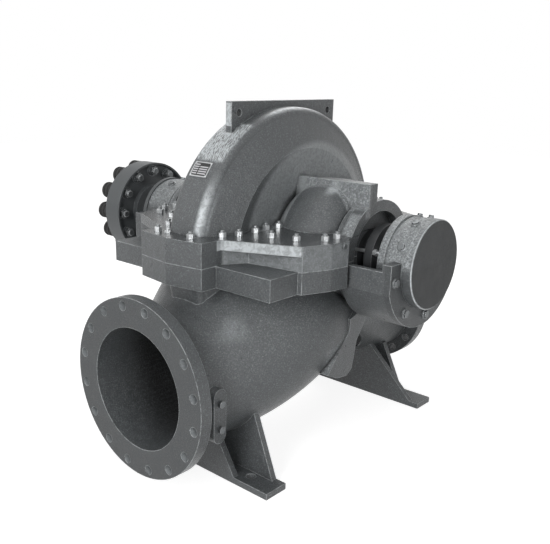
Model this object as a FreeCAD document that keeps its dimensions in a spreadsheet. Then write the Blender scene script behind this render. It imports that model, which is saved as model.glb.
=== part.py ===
import FreeCAD, Part
import math
import os
import Sketcher
from FreeCAD import Placement, Rotation, Vector

# Horizontal split case pump. The shaft runs along X with the coupling at -X,
# the suction nozzle faces -Y, the discharge nozzle faces +Y and +Z is up.
# Everything is drawn about the shaft line and lifted to the shaft height at the end.

document = FreeCAD.newDocument("split_case_pump")

# Driving dimensions, in millimetres, degrees and plain counts

SIZES = [
    ("shaft_height", 595, "shaft line above the floor"),
    ("suction_reach", 600, "shaft line to the suction flange face"),
    ("suction_drop", 320, "shaft line down to the suction centre line"),
    ("suction_bore", 332, "suction nozzle bore"),
    ("suction_flange", 490, "suction flange outer diameter"),
    ("suction_pitch", 445, "suction bolt circle"),
    ("suction_rim", 36, "suction flange thickness"),
    ("suction_bolts", 16, "holes in the suction flange"),
    ("discharge_reach", 545, "shaft line to the discharge flange face"),
    ("discharge_drop", 323, "shaft line down to the discharge centre line"),
    ("discharge_bore", 250, "discharge nozzle bore"),
    ("discharge_flange", 400, "discharge flange outer diameter"),
    ("discharge_pitch", 355, "discharge bolt circle"),
    ("discharge_rim", 40, "discharge flange thickness"),
    ("discharge_bolts", 16, "holes in the discharge flange"),
    ("nozzle_hole", 25, "bolt holes in both nozzle flanges"),
    ("nozzle_wall", 29, "wall of both nozzles"),
    ("neck_length", 124, "straight part of the nozzles behind the flange rims"),
    ("suction_chamber_y", 260, "shaft line to the widest suction section"),
    ("suction_chamber_half", 284, "half width of that section"),
    ("suction_chamber_tall", 250, "half height of that section"),
    ("suction_chamber_drop", 240, "shaft line down to the middle of that section"),
    ("suction_root_half", 292, "half width of the suction chamber under the shaft"),
    ("suction_root_tall", 205, "half height of the suction chamber under the shaft"),
    ("suction_root_drop", 200, "shaft line down to the middle of the suction chamber there"),
    ("discharge_mid_y", 240, "shaft line to the narrow section of the discharge chamber"),
    ("discharge_mid_half", 150, "half width of that section"),
    ("discharge_mid_tall", 185, "half height of that section"),
    ("discharge_mid_drop", 240, "shaft line down to the middle of that section"),
    ("upper_flange", 66, "thickness of the upper split flange"),
    ("lower_flange", 58, "thickness of the lower split flange"),
    ("ledge", 27, "thickness of the overhanging ledges of the upper flange"),
    ("nose_half", 115, "half width of the split flange at the volute"),
    ("nose_front", 474, "shaft line to the corners of the front nose"),
    ("nose_rear", 420, "shaft line to the corners of the rear nose"),
    ("nose_tip", 17, "how far the middle of a nose stands out"),
    ("ledge_front", 406, "shaft line to the inner end of the front ledges"),
    ("ledge_rear", 352, "shaft line to the inner end of the rear ledges"),
    ("pocket_x", 151, "shaft centre to the bottom corner of the pockets"),
    ("pocket_depth", 67, "depth of the pockets under the ledges"),
    ("shoulder_half", 309, "half length of the flange at its shoulders"),
    ("shoulder_front", 316, "shaft line to the front shoulder corners"),
    ("shoulder_rear", 280, "shaft line to the rear shoulder corners"),
    ("flank_half", 339, "half length of the flange at its flanks"),
    ("flank_y", 236, "shaft line to the flank corners"),
    ("flange_half", 348, "half length of the flange at its ends"),
    ("flange_end", 176, "shaft line to the end corners of the flange"),
    ("block_start", 115, "shaft centre to the inner face of the corner blocks"),
    ("block_length", 182, "length of the corner blocks"),
    ("block_front", 422, "shaft line to the front of the corner blocks"),
    ("rim_radius", 398, "outer radius of the volute rim"),
    ("rim_back", 42, "volute centre, towards the suction side"),
    ("rim_low", 16, "volute centre below the shaft line"),
    ("rim_half", 40, "half width of the flat volute rim"),
    ("rim_round", 22, "rounding beside the flat rim"),
    ("cone_half", 100, "half width of the volute at its side step"),
    ("cone_radius", 289, "radius of the side step"),
    ("dish_half", 76, "half width of the volute at the dome root"),
    ("dome_radius", 191, "largest radius of the suction domes"),
    ("dome_root", 148, "radius of the domes at their root"),
    ("dome_top", 192, "shaft centre to the largest dome radius"),
    ("dome_flank", 158, "inner rounding of the domes"),
    ("dome_nose", 82, "outer rounding of the domes"),
    ("box_radius", 149, "outer radius of the stuffing box flanges"),
    ("box_near", 272, "shaft centre to the back of the stuffing box flanges"),
    ("box_step", 18, "length of the stepped back part"),
    ("box_face", 54, "thickness of the stuffing box flanges"),
    ("recess_radius", 119, "radius of the recess round each gland"),
    ("recess_depth", 26, "depth of that recess"),
    ("rib_top", 196, "top of the long rib over the domes"),
    ("rib_front", 62, "shaft line to the front face of the long rib"),
    ("rib_thick", 36, "thickness of the long rib"),
    ("lug_top", 399, "top of the lifting lug"),
    ("lug_foot", 240, "bottom of the lifting lug inside the volute"),
    ("lug_half", 10, "half thickness of the lifting lug"),
    ("lug_front", 262, "shaft line to the front edge of the lug"),
    ("lug_rear", 190, "shaft line to the rear edge of the lug"),
    ("lug_hole", 20, "lifting holes"),
    ("lug_margin", 30, "lifting holes from the ends of the lug"),
    ("cradle_round", 175, "radius of the bearing cradles"),
    ("cradle_half", 165, "half width over the flat sides of the cradles"),
    ("cradle_wall", 28, "wall of the bearing cradles"),
    ("cradle_free", 144, "length of the free-end cradle beyond the stuffing box"),
    ("cradle_drive", 195, "length of the drive-end cradle beyond the stuffing box"),
    ("cradle_plate", 26, "thickness of the end plates of the cradles"),
    ("cradle_ear", 20, "ears of the end plates above the shaft line"),
    ("gusset_face", 300, "shaft centre to the outer face of the gussets"),
    ("gusset_thick", 38, "thickness of the gussets"),
    ("housing_radius", 120, "outer radius of the bearing covers and end caps"),
    ("housing_step", 2, "covers stand proud of the bearing housings, and the drive cover of its cap"),
    ("inner_cover", 20, "thickness of the inner bearing covers"),
    ("housing_gap", 72, "stuffing box face to the inner bearing covers"),
    ("housing_groove", 7, "width of the groove beside the inner covers"),
    ("groove_depth", 6, "depth of that groove"),
    ("cap_thick", 30, "thickness of the free-end cap"),
    ("cap_edge", 3, "chamfer of the free-end cap"),
    ("cover_thick", 14, "thickness of the drive-end cover"),
    ("foot_half", 305, "half length of the foot plates"),
    ("foot_inner", 345, "shaft line to the inner edge of the foot plates"),
    ("foot_width", 78, "width of the foot plates"),
    ("foot_plate", 18, "foot plate thickness"),
    ("foot_web", 18, "foot web thickness"),
    ("foot_hole", 27, "foundation bolt holes"),
    ("foot_pitch", 430, "foundation bolts along the shaft"),
    ("foot_spread", 768, "foundation bolts across the shaft"),
    ("shaft_radius", 35, "shaft at the bearings"),
    ("sleeve_radius", 48, "shaft sleeves in the stuffing boxes"),
    ("journal_gap", 0.05, "running clearance at the bearings"),
    ("clear_gap", 5, "clearance of moving pieces elsewhere"),
    ("gland_radius", 88, "outer radius of the gland flanges"),
    ("gland_body", 66, "radius of the gland bodies"),
    ("gland_stand", 10, "gland flanges beyond the stuffing box face"),
    ("gland_thick", 24, "thickness of the gland flanges"),
    ("gland_stud", 5, "radius of the gland studs"),
    ("gland_stud_y", 76, "shaft line sideways to the gland studs"),
    ("gland_stud_z", 22, "shaft line up to the gland studs"),
    ("bolt_gap", 0.3, "clearance of bolts in their holes"),
    ("coupling_radius", 164, "outer radius of the coupling half"),
    ("coupling_near", 616, "shaft centre to the near face of the coupling rim"),
    ("coupling_rim", 71, "length of the coupling rim"),
    ("coupling_lip", 6, "thickness of the lip round the coupling recess"),
    ("coupling_recess", 14, "depth of the recess in the coupling"),
    ("coupling_hub", 87, "radius of the coupling hub"),
    ("hub_stand", 18, "coupling hub beyond the bottom of the recess"),
    ("pin_circle", 136, "radius of the coupling pin circle"),
    ("pin_radius", 11, "radius of the coupling pins"),
    ("pin_count", 12, "coupling pins"),
    ("pin_tip", 8, "coupling pins beyond bushes and nuts"),
    ("pin_nut", 16, "corner radius of the coupling nuts"),
    ("pin_nut_high", 18, "height of the coupling nuts"),
    ("bush_radius", 28, "radius of the rubber bushes"),
    ("bush_ring", 12, "length of one ring of a bush"),
    ("bush_groove", 4, "depth and width of the grooves of a bush"),
    ("stud_radius", 6, "radius of the parting studs"),
    ("stud_stand", 19, "parting studs above the flange"),
    ("left_studs_far", 20, "studs further out on the drive end than on the free end, along the rims"),
    ("left_studs_close", 6, "the same for the studs at the shoulders and beside the shaft"),
    ("nut_corner", 10.5, "corner radius of the parting nuts"),
    ("nut_high", 12, "height of the parting nuts"),
    ("spot_radius", 24, "radius of the spot faces at the noses"),
    ("screw_radius", 6, "radius of the jacking screws"),
    ("cradle_bolt_circle", 147, "radius of the bolt circle on the cradle plates"),
    ("cradle_bolt_first", 190.5, "angle of the first cradle bolt"),
    ("cradle_bolt_step", 44, "angle between the cradle bolts"),
    ("cradle_bolt_corner", 11, "corner radius of the cradle bolt heads"),
    ("cradle_bolt_high", 9, "height of the cradle bolt heads"),
    ("housing_plug", 10, "corner radius of the plugs on the suction pad and the bearing housings"),
    ("flange_plug", 8, "radius of the plugs on the flange ends"),
    ("housing_stud", 7, "corner radius of the small studs on the bearing housings"),
    ("plug_stand", 9, "plugs beyond the surface they sit on"),
    ("pad_face", 205, "shaft centre to the face of the suction pad"),
    ("pad_y", 495, "shaft line to the middle of the suction pad"),
    ("pad_half", 22, "half width of the suction pad"),
    ("pad_top", 310, "shaft line down to the upper round end of the pad"),
    ("pad_plug_in", 18, "pad plugs from the round ends of the pad"),
    ("pad_length", 107, "distance between the round ends of the pad"),
    ("plate_x", 7, "nameplate centre towards the coupling"),
    ("plate_width", 62, "nameplate width"),
    ("plate_angle", 34.5, "lower edge of the nameplate on the volute, from the shaft line"),
    ("plate_arc", 6.4, "angle the nameplate takes up"),
    ("plate_thick", 1.5, "nameplate thickness"),
]


class Dim:
    """A number together with the sheet expression that gives it."""

    def __init__(self, value, text):
        self.value = value
        self.text = text

    def _join(self, other, sign, value):
        return Dim(value, "(%s %s %s)" % (self.text, sign, other.text))

    def __add__(self, other):
        other = dim(other)
        return self._join(other, "+", self.value + other.value)

    def __sub__(self, other):
        other = dim(other)
        return self._join(other, "-", self.value - other.value)

    def __mul__(self, other):
        other = dim(other)
        return self._join(other, "*", self.value * other.value)

    def __truediv__(self, other):
        other = dim(other)
        return self._join(other, "/", self.value / other.value)

    def __neg__(self):
        return Dim(-self.value, "(0 - %s)" % self.text)

    def __rsub__(self, other):
        return dim(other) - self


def dim(number):
    if isinstance(number, Dim):
        return number
    return Dim(number, repr(number))


def make_sheet():
    """Write the driving dimensions into the sheet and return them by name."""
    sheet = document.addObject("Spreadsheet::Sheet", "Sizes")
    table = {}
    for row, (name, value, meaning) in enumerate(SIZES, start=1):
        sheet.set("A%d" % row, meaning)
        sheet.set("B%d" % row, str(value))
        sheet.setAlias("B%d" % row, name)
        table[name] = Dim(value, "Sizes.%s" % name)
    document.recompute()
    return table


size = make_sheet()

# Turns that lay a sketch or a cylinder into the pump's axes
PLANE_XY = Rotation()
PLANE_XZ = Rotation(Vector(1, 0, 0), 90)
PLANE_YZ = Rotation(Vector(1, 1, 1), 120)
ALONG_X = Rotation(Vector(0, 1, 0), 90)
ALONG_Y = Rotation(Vector(1, 0, 0), -90)
ALONG_Z = Rotation()

ENDS = (("free_end", 1), ("drive_end", -1))


def bind(item, prop, length):
    """Tie one property to the sheet."""
    item.setExpression(prop, dim(length).text)


def place(item, rotation, x=0, y=0, z=0):
    """Turn an object and tie its position to the sheet."""
    item.Placement = Placement(Vector(dim(x).value, dim(y).value, dim(z).value), rotation)
    for axis, length in (("x", x), ("y", y), ("z", z)):
        if isinstance(length, Dim):
            bind(item, "Placement.Base." + axis, length)


def new(kind, name):
    return document.addObject(kind, name)


def edge_between(start, end, bend):
    """A straight edge, or an arc that bulges to the left of its way when bend is a radius."""
    if bend is None:
        return Part.LineSegment(start, end), (1, 2)
    radius = abs(bend.value)
    side = -1 if bend.value > 0 else 1
    along = end - start
    across = Vector(-along.y, along.x, 0).normalize()
    height = math.sqrt(radius ** 2 - (along.Length / 2) ** 2)
    middle = (start + end) / 2 + across * height * side
    first, last = (start, end) if side > 0 else (end, start)
    angles = [math.atan2(point.y - middle.y, point.x - middle.x) for point in (first, last)]
    if angles[1] < angles[0]:
        angles[1] += 2 * math.pi
    circle = Part.Circle(middle, Vector(0, 0, 1), radius)
    return Part.ArcOfCircle(circle, angles[0], angles[1]), (1, 2) if side > 0 else (2, 1)


def outline(name, corners, rotation=PLANE_XY, x=0, y=0, z=0):
    """A closed sketch through corners tied to the sheet. A third entry bends the edge after its corner."""
    sketch = new("Sketcher::SketchObject", name)
    count = len(corners)
    points = [Vector(dim(corner[0]).value, dim(corner[1]).value, 0) for corner in corners]
    tips = []
    for index, corner in enumerate(corners):
        bend = corner[2] if len(corner) > 2 else None
        edge, ends = edge_between(points[index], points[(index + 1) % count], bend)
        sketch.addGeometry(edge, False)
        tips.append(ends)
    for index in range(count):
        after = (index + 1) % count
        joint = Sketcher.Constraint("Coincident", index, tips[index][1], after, tips[after][0])
        sketch.addConstraint(joint)
    for index, corner in enumerate(corners):
        for kind, length in zip(("DistanceX", "DistanceY"), corner):
            rule = Sketcher.Constraint(kind, -1, 1, index, tips[index][0], float(dim(length).value))
            number = sketch.addConstraint(rule)
            if isinstance(length, Dim):
                sketch.setExpression("Constraints[%d]" % number, length.text)
        if len(corner) > 2 and corner[2] is not None:
            sign = 1 if corner[2].value > 0 else -1
            number = sketch.addConstraint(Sketcher.Constraint("Radius", index, abs(corner[2].value)))
            sketch.setExpression("Constraints[%d]" % number, (corner[2] * sign).text)
    place(sketch, rotation, x, y, z)
    return sketch


def mirrored(points):
    """The mirror image across the Y axis, walked the other way round."""
    bends = [point[2] if len(point) > 2 else None for point in points]
    image = []
    for index in range(len(points) - 1, -1, -1):
        bend = bends[index - 1] if index > 0 else None
        image.append((-dim(points[index][0]), points[index][1], bend))
    return image


def towards(sign, corners):
    """Half profile corners for the free end, or their mirror image for the drive end."""
    return corners if sign > 0 else mirrored(corners)


def revolve(name, profile, axis=Vector(1, 0, 0), y=0, z=0):
    """Turn a profile once round an axis through the given point."""
    solid = new("Part::Revolution", name)
    solid.Source = profile
    solid.Axis = axis
    solid.Base = Vector(0, dim(y).value, dim(z).value)
    for coordinate, length in (("y", y), ("z", z)):
        if isinstance(length, Dim):
            bind(solid, "Base." + coordinate, length)
    solid.Angle = 360
    solid.Solid = True
    return solid


def extrude(name, profile, direction, length):
    solid = new("Part::Extrusion", name)
    solid.Base = profile
    solid.DirMode = "Custom"
    solid.Dir = direction
    solid.Solid = True
    bind(solid, "LengthFwd", length)
    return solid


def box(name, x0, x1, y0, y1, z0, z1):
    """A box between pairs of faces."""
    solid = new("Part::Box", name)
    for prop, low, high in (("Length", x0, x1), ("Width", y0, y1), ("Height", z0, z1)):
        bind(solid, prop, dim(high) - low)
    place(solid, Rotation(), dim(x0), dim(y0), dim(z0))
    return solid


def sided_box(name, sign, near, far, y0, y1, z0, z1):
    """A box between two distances from the shaft centre, on one side of it."""
    low, high = (near, far) if sign > 0 else (-far, -near)
    return box(name, low, high, y0, y1, z0, z1)


def cylinder(name, radius, length, direction, x=0, y=0, z=0):
    """A cylinder that starts at the given point and runs along a direction."""
    solid = new("Part::Cylinder", name)
    bind(solid, "Radius", radius)
    bind(solid, "Height", length)
    place(solid, direction, x, y, z)
    return solid


def drum(name, sign, radius, near, far, y=0, z=0):
    """A cylinder along X between two distances from the shaft centre, on one side of it."""
    start = dim(near) if sign > 0 else -dim(far)
    return cylinder(name, radius, dim(far) - near, ALONG_X, start, y, z)


def prism(name, corner, length, direction, x=0, y=0, z=0):
    """A six sided prism, given by its corner radius."""
    solid = new("Part::Prism", name)
    solid.Polygon = 6
    bind(solid, "Circumradius", corner)
    bind(solid, "Height", length)
    place(solid, direction, x, y, z)
    return solid


def fuse(name, shapes):
    solid = new("Part::MultiFuse", name)
    solid.Shapes = shapes
    return solid


def cut(name, base, tool):
    solid = new("Part::Cut", name)
    solid.Base = base
    solid.Tool = tool
    return solid


def common(name, shapes):
    solid = new("Part::MultiCommon", name)
    solid.Shapes = shapes
    return solid


def loft(name, sections):
    solid = new("Part::Loft", name)
    solid.Sections = sections
    solid.Solid = True
    return solid


def ellipse(name, half_width, half_height, y, drop):
    """An upright ellipse in a plane across Y, the given drop below the shaft line."""
    wide = dim(half_width).value >= dim(half_height).value
    section = new("Part::Ellipse", name)
    first, second = (half_width, half_height) if wide else (half_height, half_width)
    bind(section, "MajorRadius", first)
    bind(section, "MinorRadius", second)
    turn = PLANE_XZ if wide else PLANE_XZ.multiply(Rotation(Vector(0, 0, 1), 90))
    place(section, turn, 0, y, -dim(drop))
    return section


parts = {}


def finish(name, solid):
    """Name a finished sub-part and lift it to the shaft height."""
    solid.Label = name
    bind(solid, "Placement.Base.z", size["shaft_height"])
    parts[name] = solid


def turned(name, corners):
    """A solid turned about the shaft from a half profile."""
    return revolve(name + "_solid", outline(name + "_profile", corners, PLANE_XZ))


# Places along the shaft that several pieces share
box_end = size["box_near"] + size["box_face"]
cover_start = box_end + size["housing_gap"]
housing_start = cover_start + size["inner_cover"]
cradle_end = {1: box_end + size["cradle_free"], -1: box_end + size["cradle_drive"]}
coupling_far = size["coupling_near"] + size["coupling_rim"]
recess_floor = size["coupling_near"] + size["coupling_recess"]
housing_body = size["housing_radius"] - size["housing_step"]
bush_length = size["bush_ring"] * 3 + size["bush_groove"] * 2
strip_bottom = size["upper_flange"] - size["ledge"]
shaft_clear = size["shaft_radius"] + size["clear_gap"]
sleeve_clear = size["sleeve_radius"] + size["clear_gap"]


def flange_corners(kind):
    """The split flange seen from above: the ledge, the wall under it or the lower flange."""
    nose = size["nose_half"]
    middle = size["nose_front"] + size["nose_tip"]
    right = [(nose, -size["nose_front"])]
    if kind == "ledge":
        right += [(nose, -size["ledge_front"])]
    else:
        right += [(nose, -(size["ledge_front"] - 4)),
                  (size["pocket_x"], -(size["ledge_front"] - size["pocket_depth"]))]
    right += [
        (size["shoulder_half"], -size["shoulder_front"]),
        (size["flank_half"], -size["flank_y"]),
        (size["flange_half"], -size["flange_end"]),
        (box_end, -size["box_radius"]),
        (box_end, size["box_radius"]),
        (size["shoulder_half"] - 30, size["flange_end"] + 24),
        (size["shoulder_half"] - 40, size["shoulder_rear"]),
    ]
    if kind == "ledge":
        right += [(nose, size["ledge_rear"])]
    else:
        right += [(size["pocket_x"], size["ledge_rear"] - size["pocket_depth"]),
                  (nose, size["ledge_rear"] - 4)]
    right += [(nose, size["nose_rear"])]
    return ([(dim(0), -middle)] + right + [(dim(0), size["nose_rear"] + size["nose_tip"])]
            + mirrored(right))


def half_space(name, above):
    """A large box above or below the split plane."""
    reach = size["rim_radius"] * 3
    low, high = (dim(0), reach) if above else (-reach, dim(0))
    return box(name, -reach, reach, -reach, reach, low, high)


def volute(name):
    """The volute, turned about its own centre line behind and below the shaft."""
    radius = size["rim_radius"]
    edge = size["rim_half"]
    soft = size["rim_round"]
    core = size["sleeve_radius"] / 2
    right = [
        (edge, radius, soft),
        (edge + soft, radius - soft),
        (size["cone_half"], size["cone_radius"]),
        (size["cone_half"] - 8, size["cone_radius"] - 40),
        (size["dish_half"], size["dome_radius"] - 40),
        (size["dish_half"], core),
    ]
    profile = outline(name + "_profile", mirrored(right) + right, PLANE_XZ, 0,
                      -size["rim_back"], -size["rim_low"])
    return revolve(name, profile, y=-size["rim_back"], z=-size["rim_low"])


def dome(name):
    """One suction dome on each side of the volute, turned about the shaft."""
    root = size["dish_half"]
    top = size["dome_top"]
    radius = size["dome_radius"]
    right = [
        (root, size["dome_root"], size["dome_flank"]),
        (top, radius, size["dome_nose"]),
        (top + size["dome_nose"], radius - size["dome_nose"]),
        (top + size["dome_nose"], size["sleeve_radius"] / 2),
    ]
    profile = outline(name + "_profile", mirrored(right) + right, PLANE_XZ)
    return revolve(name, profile)


def stuffing_box(name, sign):
    """The round flange at one end of the casing, stepped at its back."""
    near = size["box_near"]
    step = near + size["box_step"]
    radius = size["box_radius"]
    core = size["sleeve_radius"] / 2
    corners = towards(sign, [
        (near, core),
        (near, radius - 6),
        (step, radius - 6),
        (step, radius),
        (box_end, radius),
        (box_end, core),
    ])
    return turned(name, corners)


def casing_tools(name):
    """The shaft bore and the gland recesses, cut from both casing halves."""
    reach = cradle_end[-1]
    tools = [cylinder(name + "_bore", sleeve_clear, reach * 2, ALONG_X, -reach)]
    for side, sign in ENDS:
        tools.append(drum("%s_recess_%s" % (name, side), sign, size["recess_radius"],
                          box_end - size["recess_depth"], box_end + size["recess_depth"]))
    return tools


def flange_plate(name, kind, direction, thickness, z=0):
    profile = outline(name + "_outline", flange_corners(kind), PLANE_XY, 0, 0, z)
    return extrude(name, profile, Vector(0, 0, direction), thickness)


def lifting_lug():
    """The upright plate on top of the volute with a hole near each end."""
    half = size["lug_half"]
    margin = size["lug_margin"]
    blank = box("lug_blank", -half, half, -size["lug_front"], size["lug_rear"], size["lug_foot"],
                size["lug_top"])
    holes = []
    for side, y in (("front", margin - size["lug_front"]), ("rear", size["lug_rear"] - margin)):
        holes.append(cylinder("lug_hole_" + side, size["lug_hole"] / 2, half * 4, ALONG_X,
                              -half * 2, y, size["lug_top"] - margin))
    return cut("lifting_lug", blank, fuse("lug_holes", holes))


def upper_casing():
    wall = flange_plate("upper_wall", "wall", 1, size["upper_flange"])
    ledge = flange_plate("upper_ledge", "ledge", 1, size["ledge"], strip_bottom)
    front = -size["rib_front"]
    rib = box("upper_rib", -box_end, box_end, front, front + size["rib_thick"], 0, size["rib_top"])
    round_parts = [volute("upper_volute"), dome("upper_dome"), rib]
    for side, sign in ENDS:
        round_parts.append(stuffing_box("upper_box_" + side, sign))
    half = common("upper_half", [fuse("upper_mass", round_parts), half_space("upper_space", True)])
    body = fuse("upper_body", [half, wall, ledge, lifting_lug()])
    tools = casing_tools("upper")
    for number, (x, y) in enumerate(nose_studs(), start=1):
        tools.append(cylinder("spot_face_%d" % number, size["spot_radius"], size["spot_radius"] * 2,
                              ALONG_Z, x, y, size["upper_flange"]))
    finish("upper_casing", cut("upper_casing_solid", body, fuse("upper_tools", tools)))


def nozzle_flange(name, sign):
    """A round nozzle flange with its ring of bolt holes, as a disc and the holes."""
    rim = size[name + "_rim"]
    count = int(round(size[name + "_bolts"].value))
    drop = size[name + "_drop"]
    face = size[name + "_reach"]
    start = face - rim if sign > 0 else -face
    disc = cylinder(name + "_disc", size[name + "_flange"] / 2, rim, ALONG_Y, 0, start, -drop)
    holes = []
    for index in range(count):
        angle = math.radians(360.0 * (index + 0.5) / count)
        x = size[name + "_pitch"] / 2 * math.sin(angle)
        z = size[name + "_pitch"] / 2 * math.cos(angle) - drop
        holes.append(cylinder("%s_hole_%d" % (name, index + 1), size["nozzle_hole"] / 2, rim * 3,
                              ALONG_Y, x, start - rim, z))
    return disc, holes


def cradle(name, sign):
    """A bearing bracket: a round trough with flat sides and an upright end plate."""
    near = box_end - 2
    far = cradle_end[sign]
    plate = far - size["cradle_plate"]
    radius = size["cradle_round"]
    half = size["cradle_half"]
    below = sided_box(name + "_below", sign, near, far, -half, half, -radius, 0)
    trough = common(name + "_trough", [drum(name + "_drum", sign, radius, near, far), below])
    ears = sided_box(name + "_ears", sign, plate, far, -half, half, -half / 4, size["cradle_ear"])
    hollow = drum(name + "_hollow", sign, radius - size["cradle_wall"], box_end, plate)
    seat = drum(name + "_seat", sign, housing_body, plate - 2, far + 2)
    return [trough, ears], [hollow, seat]


def gusset(name, sign):
    """The upright rib under a bearing cradle."""
    corners = [
        (-78, -180),
        (-78, -212),
        (-171, -321),
        (-125, -342),
        (-80, -347),
        (-58, -332),
        (-50, -300),
        (-40, -250),
        (-5, -200),
        (5, -150),
    ]
    face = size["gusset_face"]
    start = face - size["gusset_thick"] if sign > 0 else -face
    return extrude(name, outline(name + "_outline", corners, PLANE_YZ, start), Vector(1, 0, 0),
                   size["gusset_thick"])


# Foot webs: half width at the top, height of the top below the shaft line, half width on the plate
WEBS = {
    "front": (("inner", 170, 320, 279), ("outer", 99, 440, 198)),
    "rear": (("inner", 83, 397, 291), ("outer", 120, 424, 204)),
}


def foot(name, sign):
    """A foot plate with two upright webs under one nozzle."""
    inner = size["foot_inner"]
    outer = inner + size["foot_width"]
    floor = -size["shaft_height"]
    half = size["foot_half"]
    thick = size["foot_web"]
    low, high = (inner, outer) if sign > 0 else (-outer, -inner)
    plates = [box(name + "_plate", -half, half, low, high, floor, floor + size["foot_plate"])]
    for side, top_half, top_drop, bottom_half in WEBS[name.split("_")[0]]:
        y = inner if side == "inner" else outer - thick
        y = y + thick if sign > 0 else -y
        right = [(bottom_half, floor), (top_half, -top_drop)]
        web = outline("%s_%s_outline" % (name, side), mirrored(right) + right, PLANE_XZ, 0, y, 0)
        plates.append(extrude("%s_%s_web" % (name, side), web, Vector(0, -1, 0), thick))
    holes = []
    for side in (-1, 1):
        holes.append(cylinder("%s_hole_%d" % (name, side + 2), size["foot_hole"] / 2,
                              size["foot_plate"] * 3, ALONG_Z, size["foot_pitch"] / 2 * side,
                              size["foot_spread"] / 2 * sign, floor - size["foot_plate"]))
    return plates, holes


def suction_chamber():
    """The suction side of the casing: the nozzle neck and the wide chamber behind it."""
    neck = size["suction_bore"] / 2 + size["nozzle_wall"]
    drop = size["suction_drop"]
    reach = size["suction_reach"]
    return loft("suction_chamber", [
        ellipse("suction_section_1", neck, neck, -(reach - size["suction_rim"] / 2), drop),
        ellipse("suction_section_2", neck + 4, neck, -(reach - size["suction_rim"] - size["neck_length"]),
                drop - 5),
        ellipse("suction_section_3", size["suction_chamber_half"], size["suction_chamber_tall"],
                -size["suction_chamber_y"], size["suction_chamber_drop"]),
        ellipse("suction_section_4", size["suction_root_half"], size["suction_root_tall"],
                -size["suction_chamber_y"] / 4, size["suction_root_drop"]),
        ellipse("suction_section_5", size["suction_root_half"] * 0.75, size["suction_root_tall"] * 0.8,
                size["suction_chamber_y"] / 2, size["suction_root_drop"] - 20),
    ])


def discharge_chamber():
    neck = size["discharge_bore"] / 2 + size["nozzle_wall"]
    drop = size["discharge_drop"]
    reach = size["discharge_reach"]
    return loft("discharge_chamber", [
        ellipse("discharge_section_1", neck, neck, reach - size["discharge_rim"] / 2, drop),
        ellipse("discharge_section_2", neck, neck,
                reach - size["discharge_rim"] - size["neck_length"] * 0.6, drop),
        ellipse("discharge_section_3", size["discharge_mid_half"], size["discharge_mid_tall"],
                size["discharge_mid_y"], size["discharge_mid_drop"]),
        ellipse("discharge_section_4", size["discharge_mid_half"] * 0.8, size["discharge_mid_tall"],
                size["discharge_mid_y"] / 4, size["discharge_mid_drop"] - 50),
    ])


def suction_pad():
    """The oval pad on the side of the suction neck."""
    half = size["pad_half"]
    start = size["suction_bore"] / 2
    length = size["pad_face"] - start
    top = -size["pad_top"]
    bottom = top - size["pad_length"]
    y = -size["pad_y"]
    return [
        cylinder("pad_top_end", half, length, ALONG_X, start, y, top),
        cylinder("pad_bottom_end", half, length, ALONG_X, start, y, bottom),
        box("pad_middle", start, size["pad_face"], y - half, y + half, bottom, top),
    ]


def lower_casing():
    round_parts = [volute("lower_volute"), dome("lower_dome"), suction_chamber(), discharge_chamber()]
    for side, sign in ENDS:
        round_parts.append(stuffing_box("lower_box_" + side, sign))
    half = common("lower_half", [fuse("lower_mass", round_parts), half_space("lower_space", False)])
    stages = [[half, flange_plate("lower_plate", "wall", -1, size["lower_flange"])] + suction_pad()]
    tools = casing_tools("lower")
    for side, sign in ENDS:
        near = size["block_start"]
        block = sided_box("corner_block_" + side, sign, near, near + size["block_length"],
                          -size["block_front"], -(size["shoulder_front"] - 20), -size["lower_flange"], 0)
        outer, hollows = cradle("cradle_" + side, sign)
        stages += [[block] + outer, [gusset("gusset_" + side, sign)]]
        tools += hollows
    for name, sign in (("front_foot", -1), ("rear_foot", 1)):
        plates, holes = foot(name, sign)
        stages.append(plates)
        tools += holes
    for name, sign in (("suction", -1), ("discharge", 1)):
        disc, holes = nozzle_flange(name, sign)
        stages.append([disc])
        tools += holes
    depth = size["suction_reach"] / 2
    tools.append(cylinder("suction_passage", size["suction_bore"] / 2, depth, ALONG_Y,
                          0, -(size["suction_reach"] + 10), -size["suction_drop"]))
    depth = size["discharge_reach"] / 2
    tools.append(cylinder("discharge_passage", size["discharge_bore"] / 2, depth, ALONG_Y,
                          0, size["discharge_reach"] + 10 - depth, -size["discharge_drop"]))
    body = fuse("lower_body_1", stages[0])
    for number, solids in enumerate(stages[1:], start=2):
        body = fuse("lower_body_%d" % number, [body] + solids)
    finish("lower_casing", cut("lower_casing_solid", body, fuse("lower_tools", tools)))


def bearing_housings():
    radius = size["housing_radius"]
    bore = size["shaft_radius"] + size["journal_gap"]
    groove = housing_start + size["housing_groove"]
    for side, sign in ENDS:
        finish("inner_cover_" + side, turned("inner_cover_" + side, towards(sign, [
            (cover_start, shaft_clear),
            (cover_start, radius),
            (housing_start, radius),
            (housing_start, shaft_clear),
        ])))
        end = cradle_end[sign]
        finish("bearing_housing_" + side, turned("bearing_housing_" + side, towards(sign, [
            (housing_start, bore),
            (housing_start, radius - size["groove_depth"]),
            (groove, radius - size["groove_depth"]),
            (groove, housing_body),
            (end, housing_body),
            (end, bore),
        ])))


def end_covers():
    radius = size["housing_radius"]
    start = cradle_end[1]
    end = start + size["cap_thick"]
    edge = size["cap_edge"]
    finish("end_cap_free_end", turned("end_cap_free_end", [
        (start, dim(0)),
        (start, radius),
        (end - edge, radius),
        (end, radius - edge),
        (end, dim(0)),
    ]))
    start = cradle_end[-1]
    end = start + size["cover_thick"]
    finish("bearing_cover_drive_end", turned("bearing_cover_drive_end", towards(-1, [
        (start, shaft_clear),
        (start, radius + size["housing_step"]),
        (end, radius + size["housing_step"]),
        (end, shaft_clear),
    ])))


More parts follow.
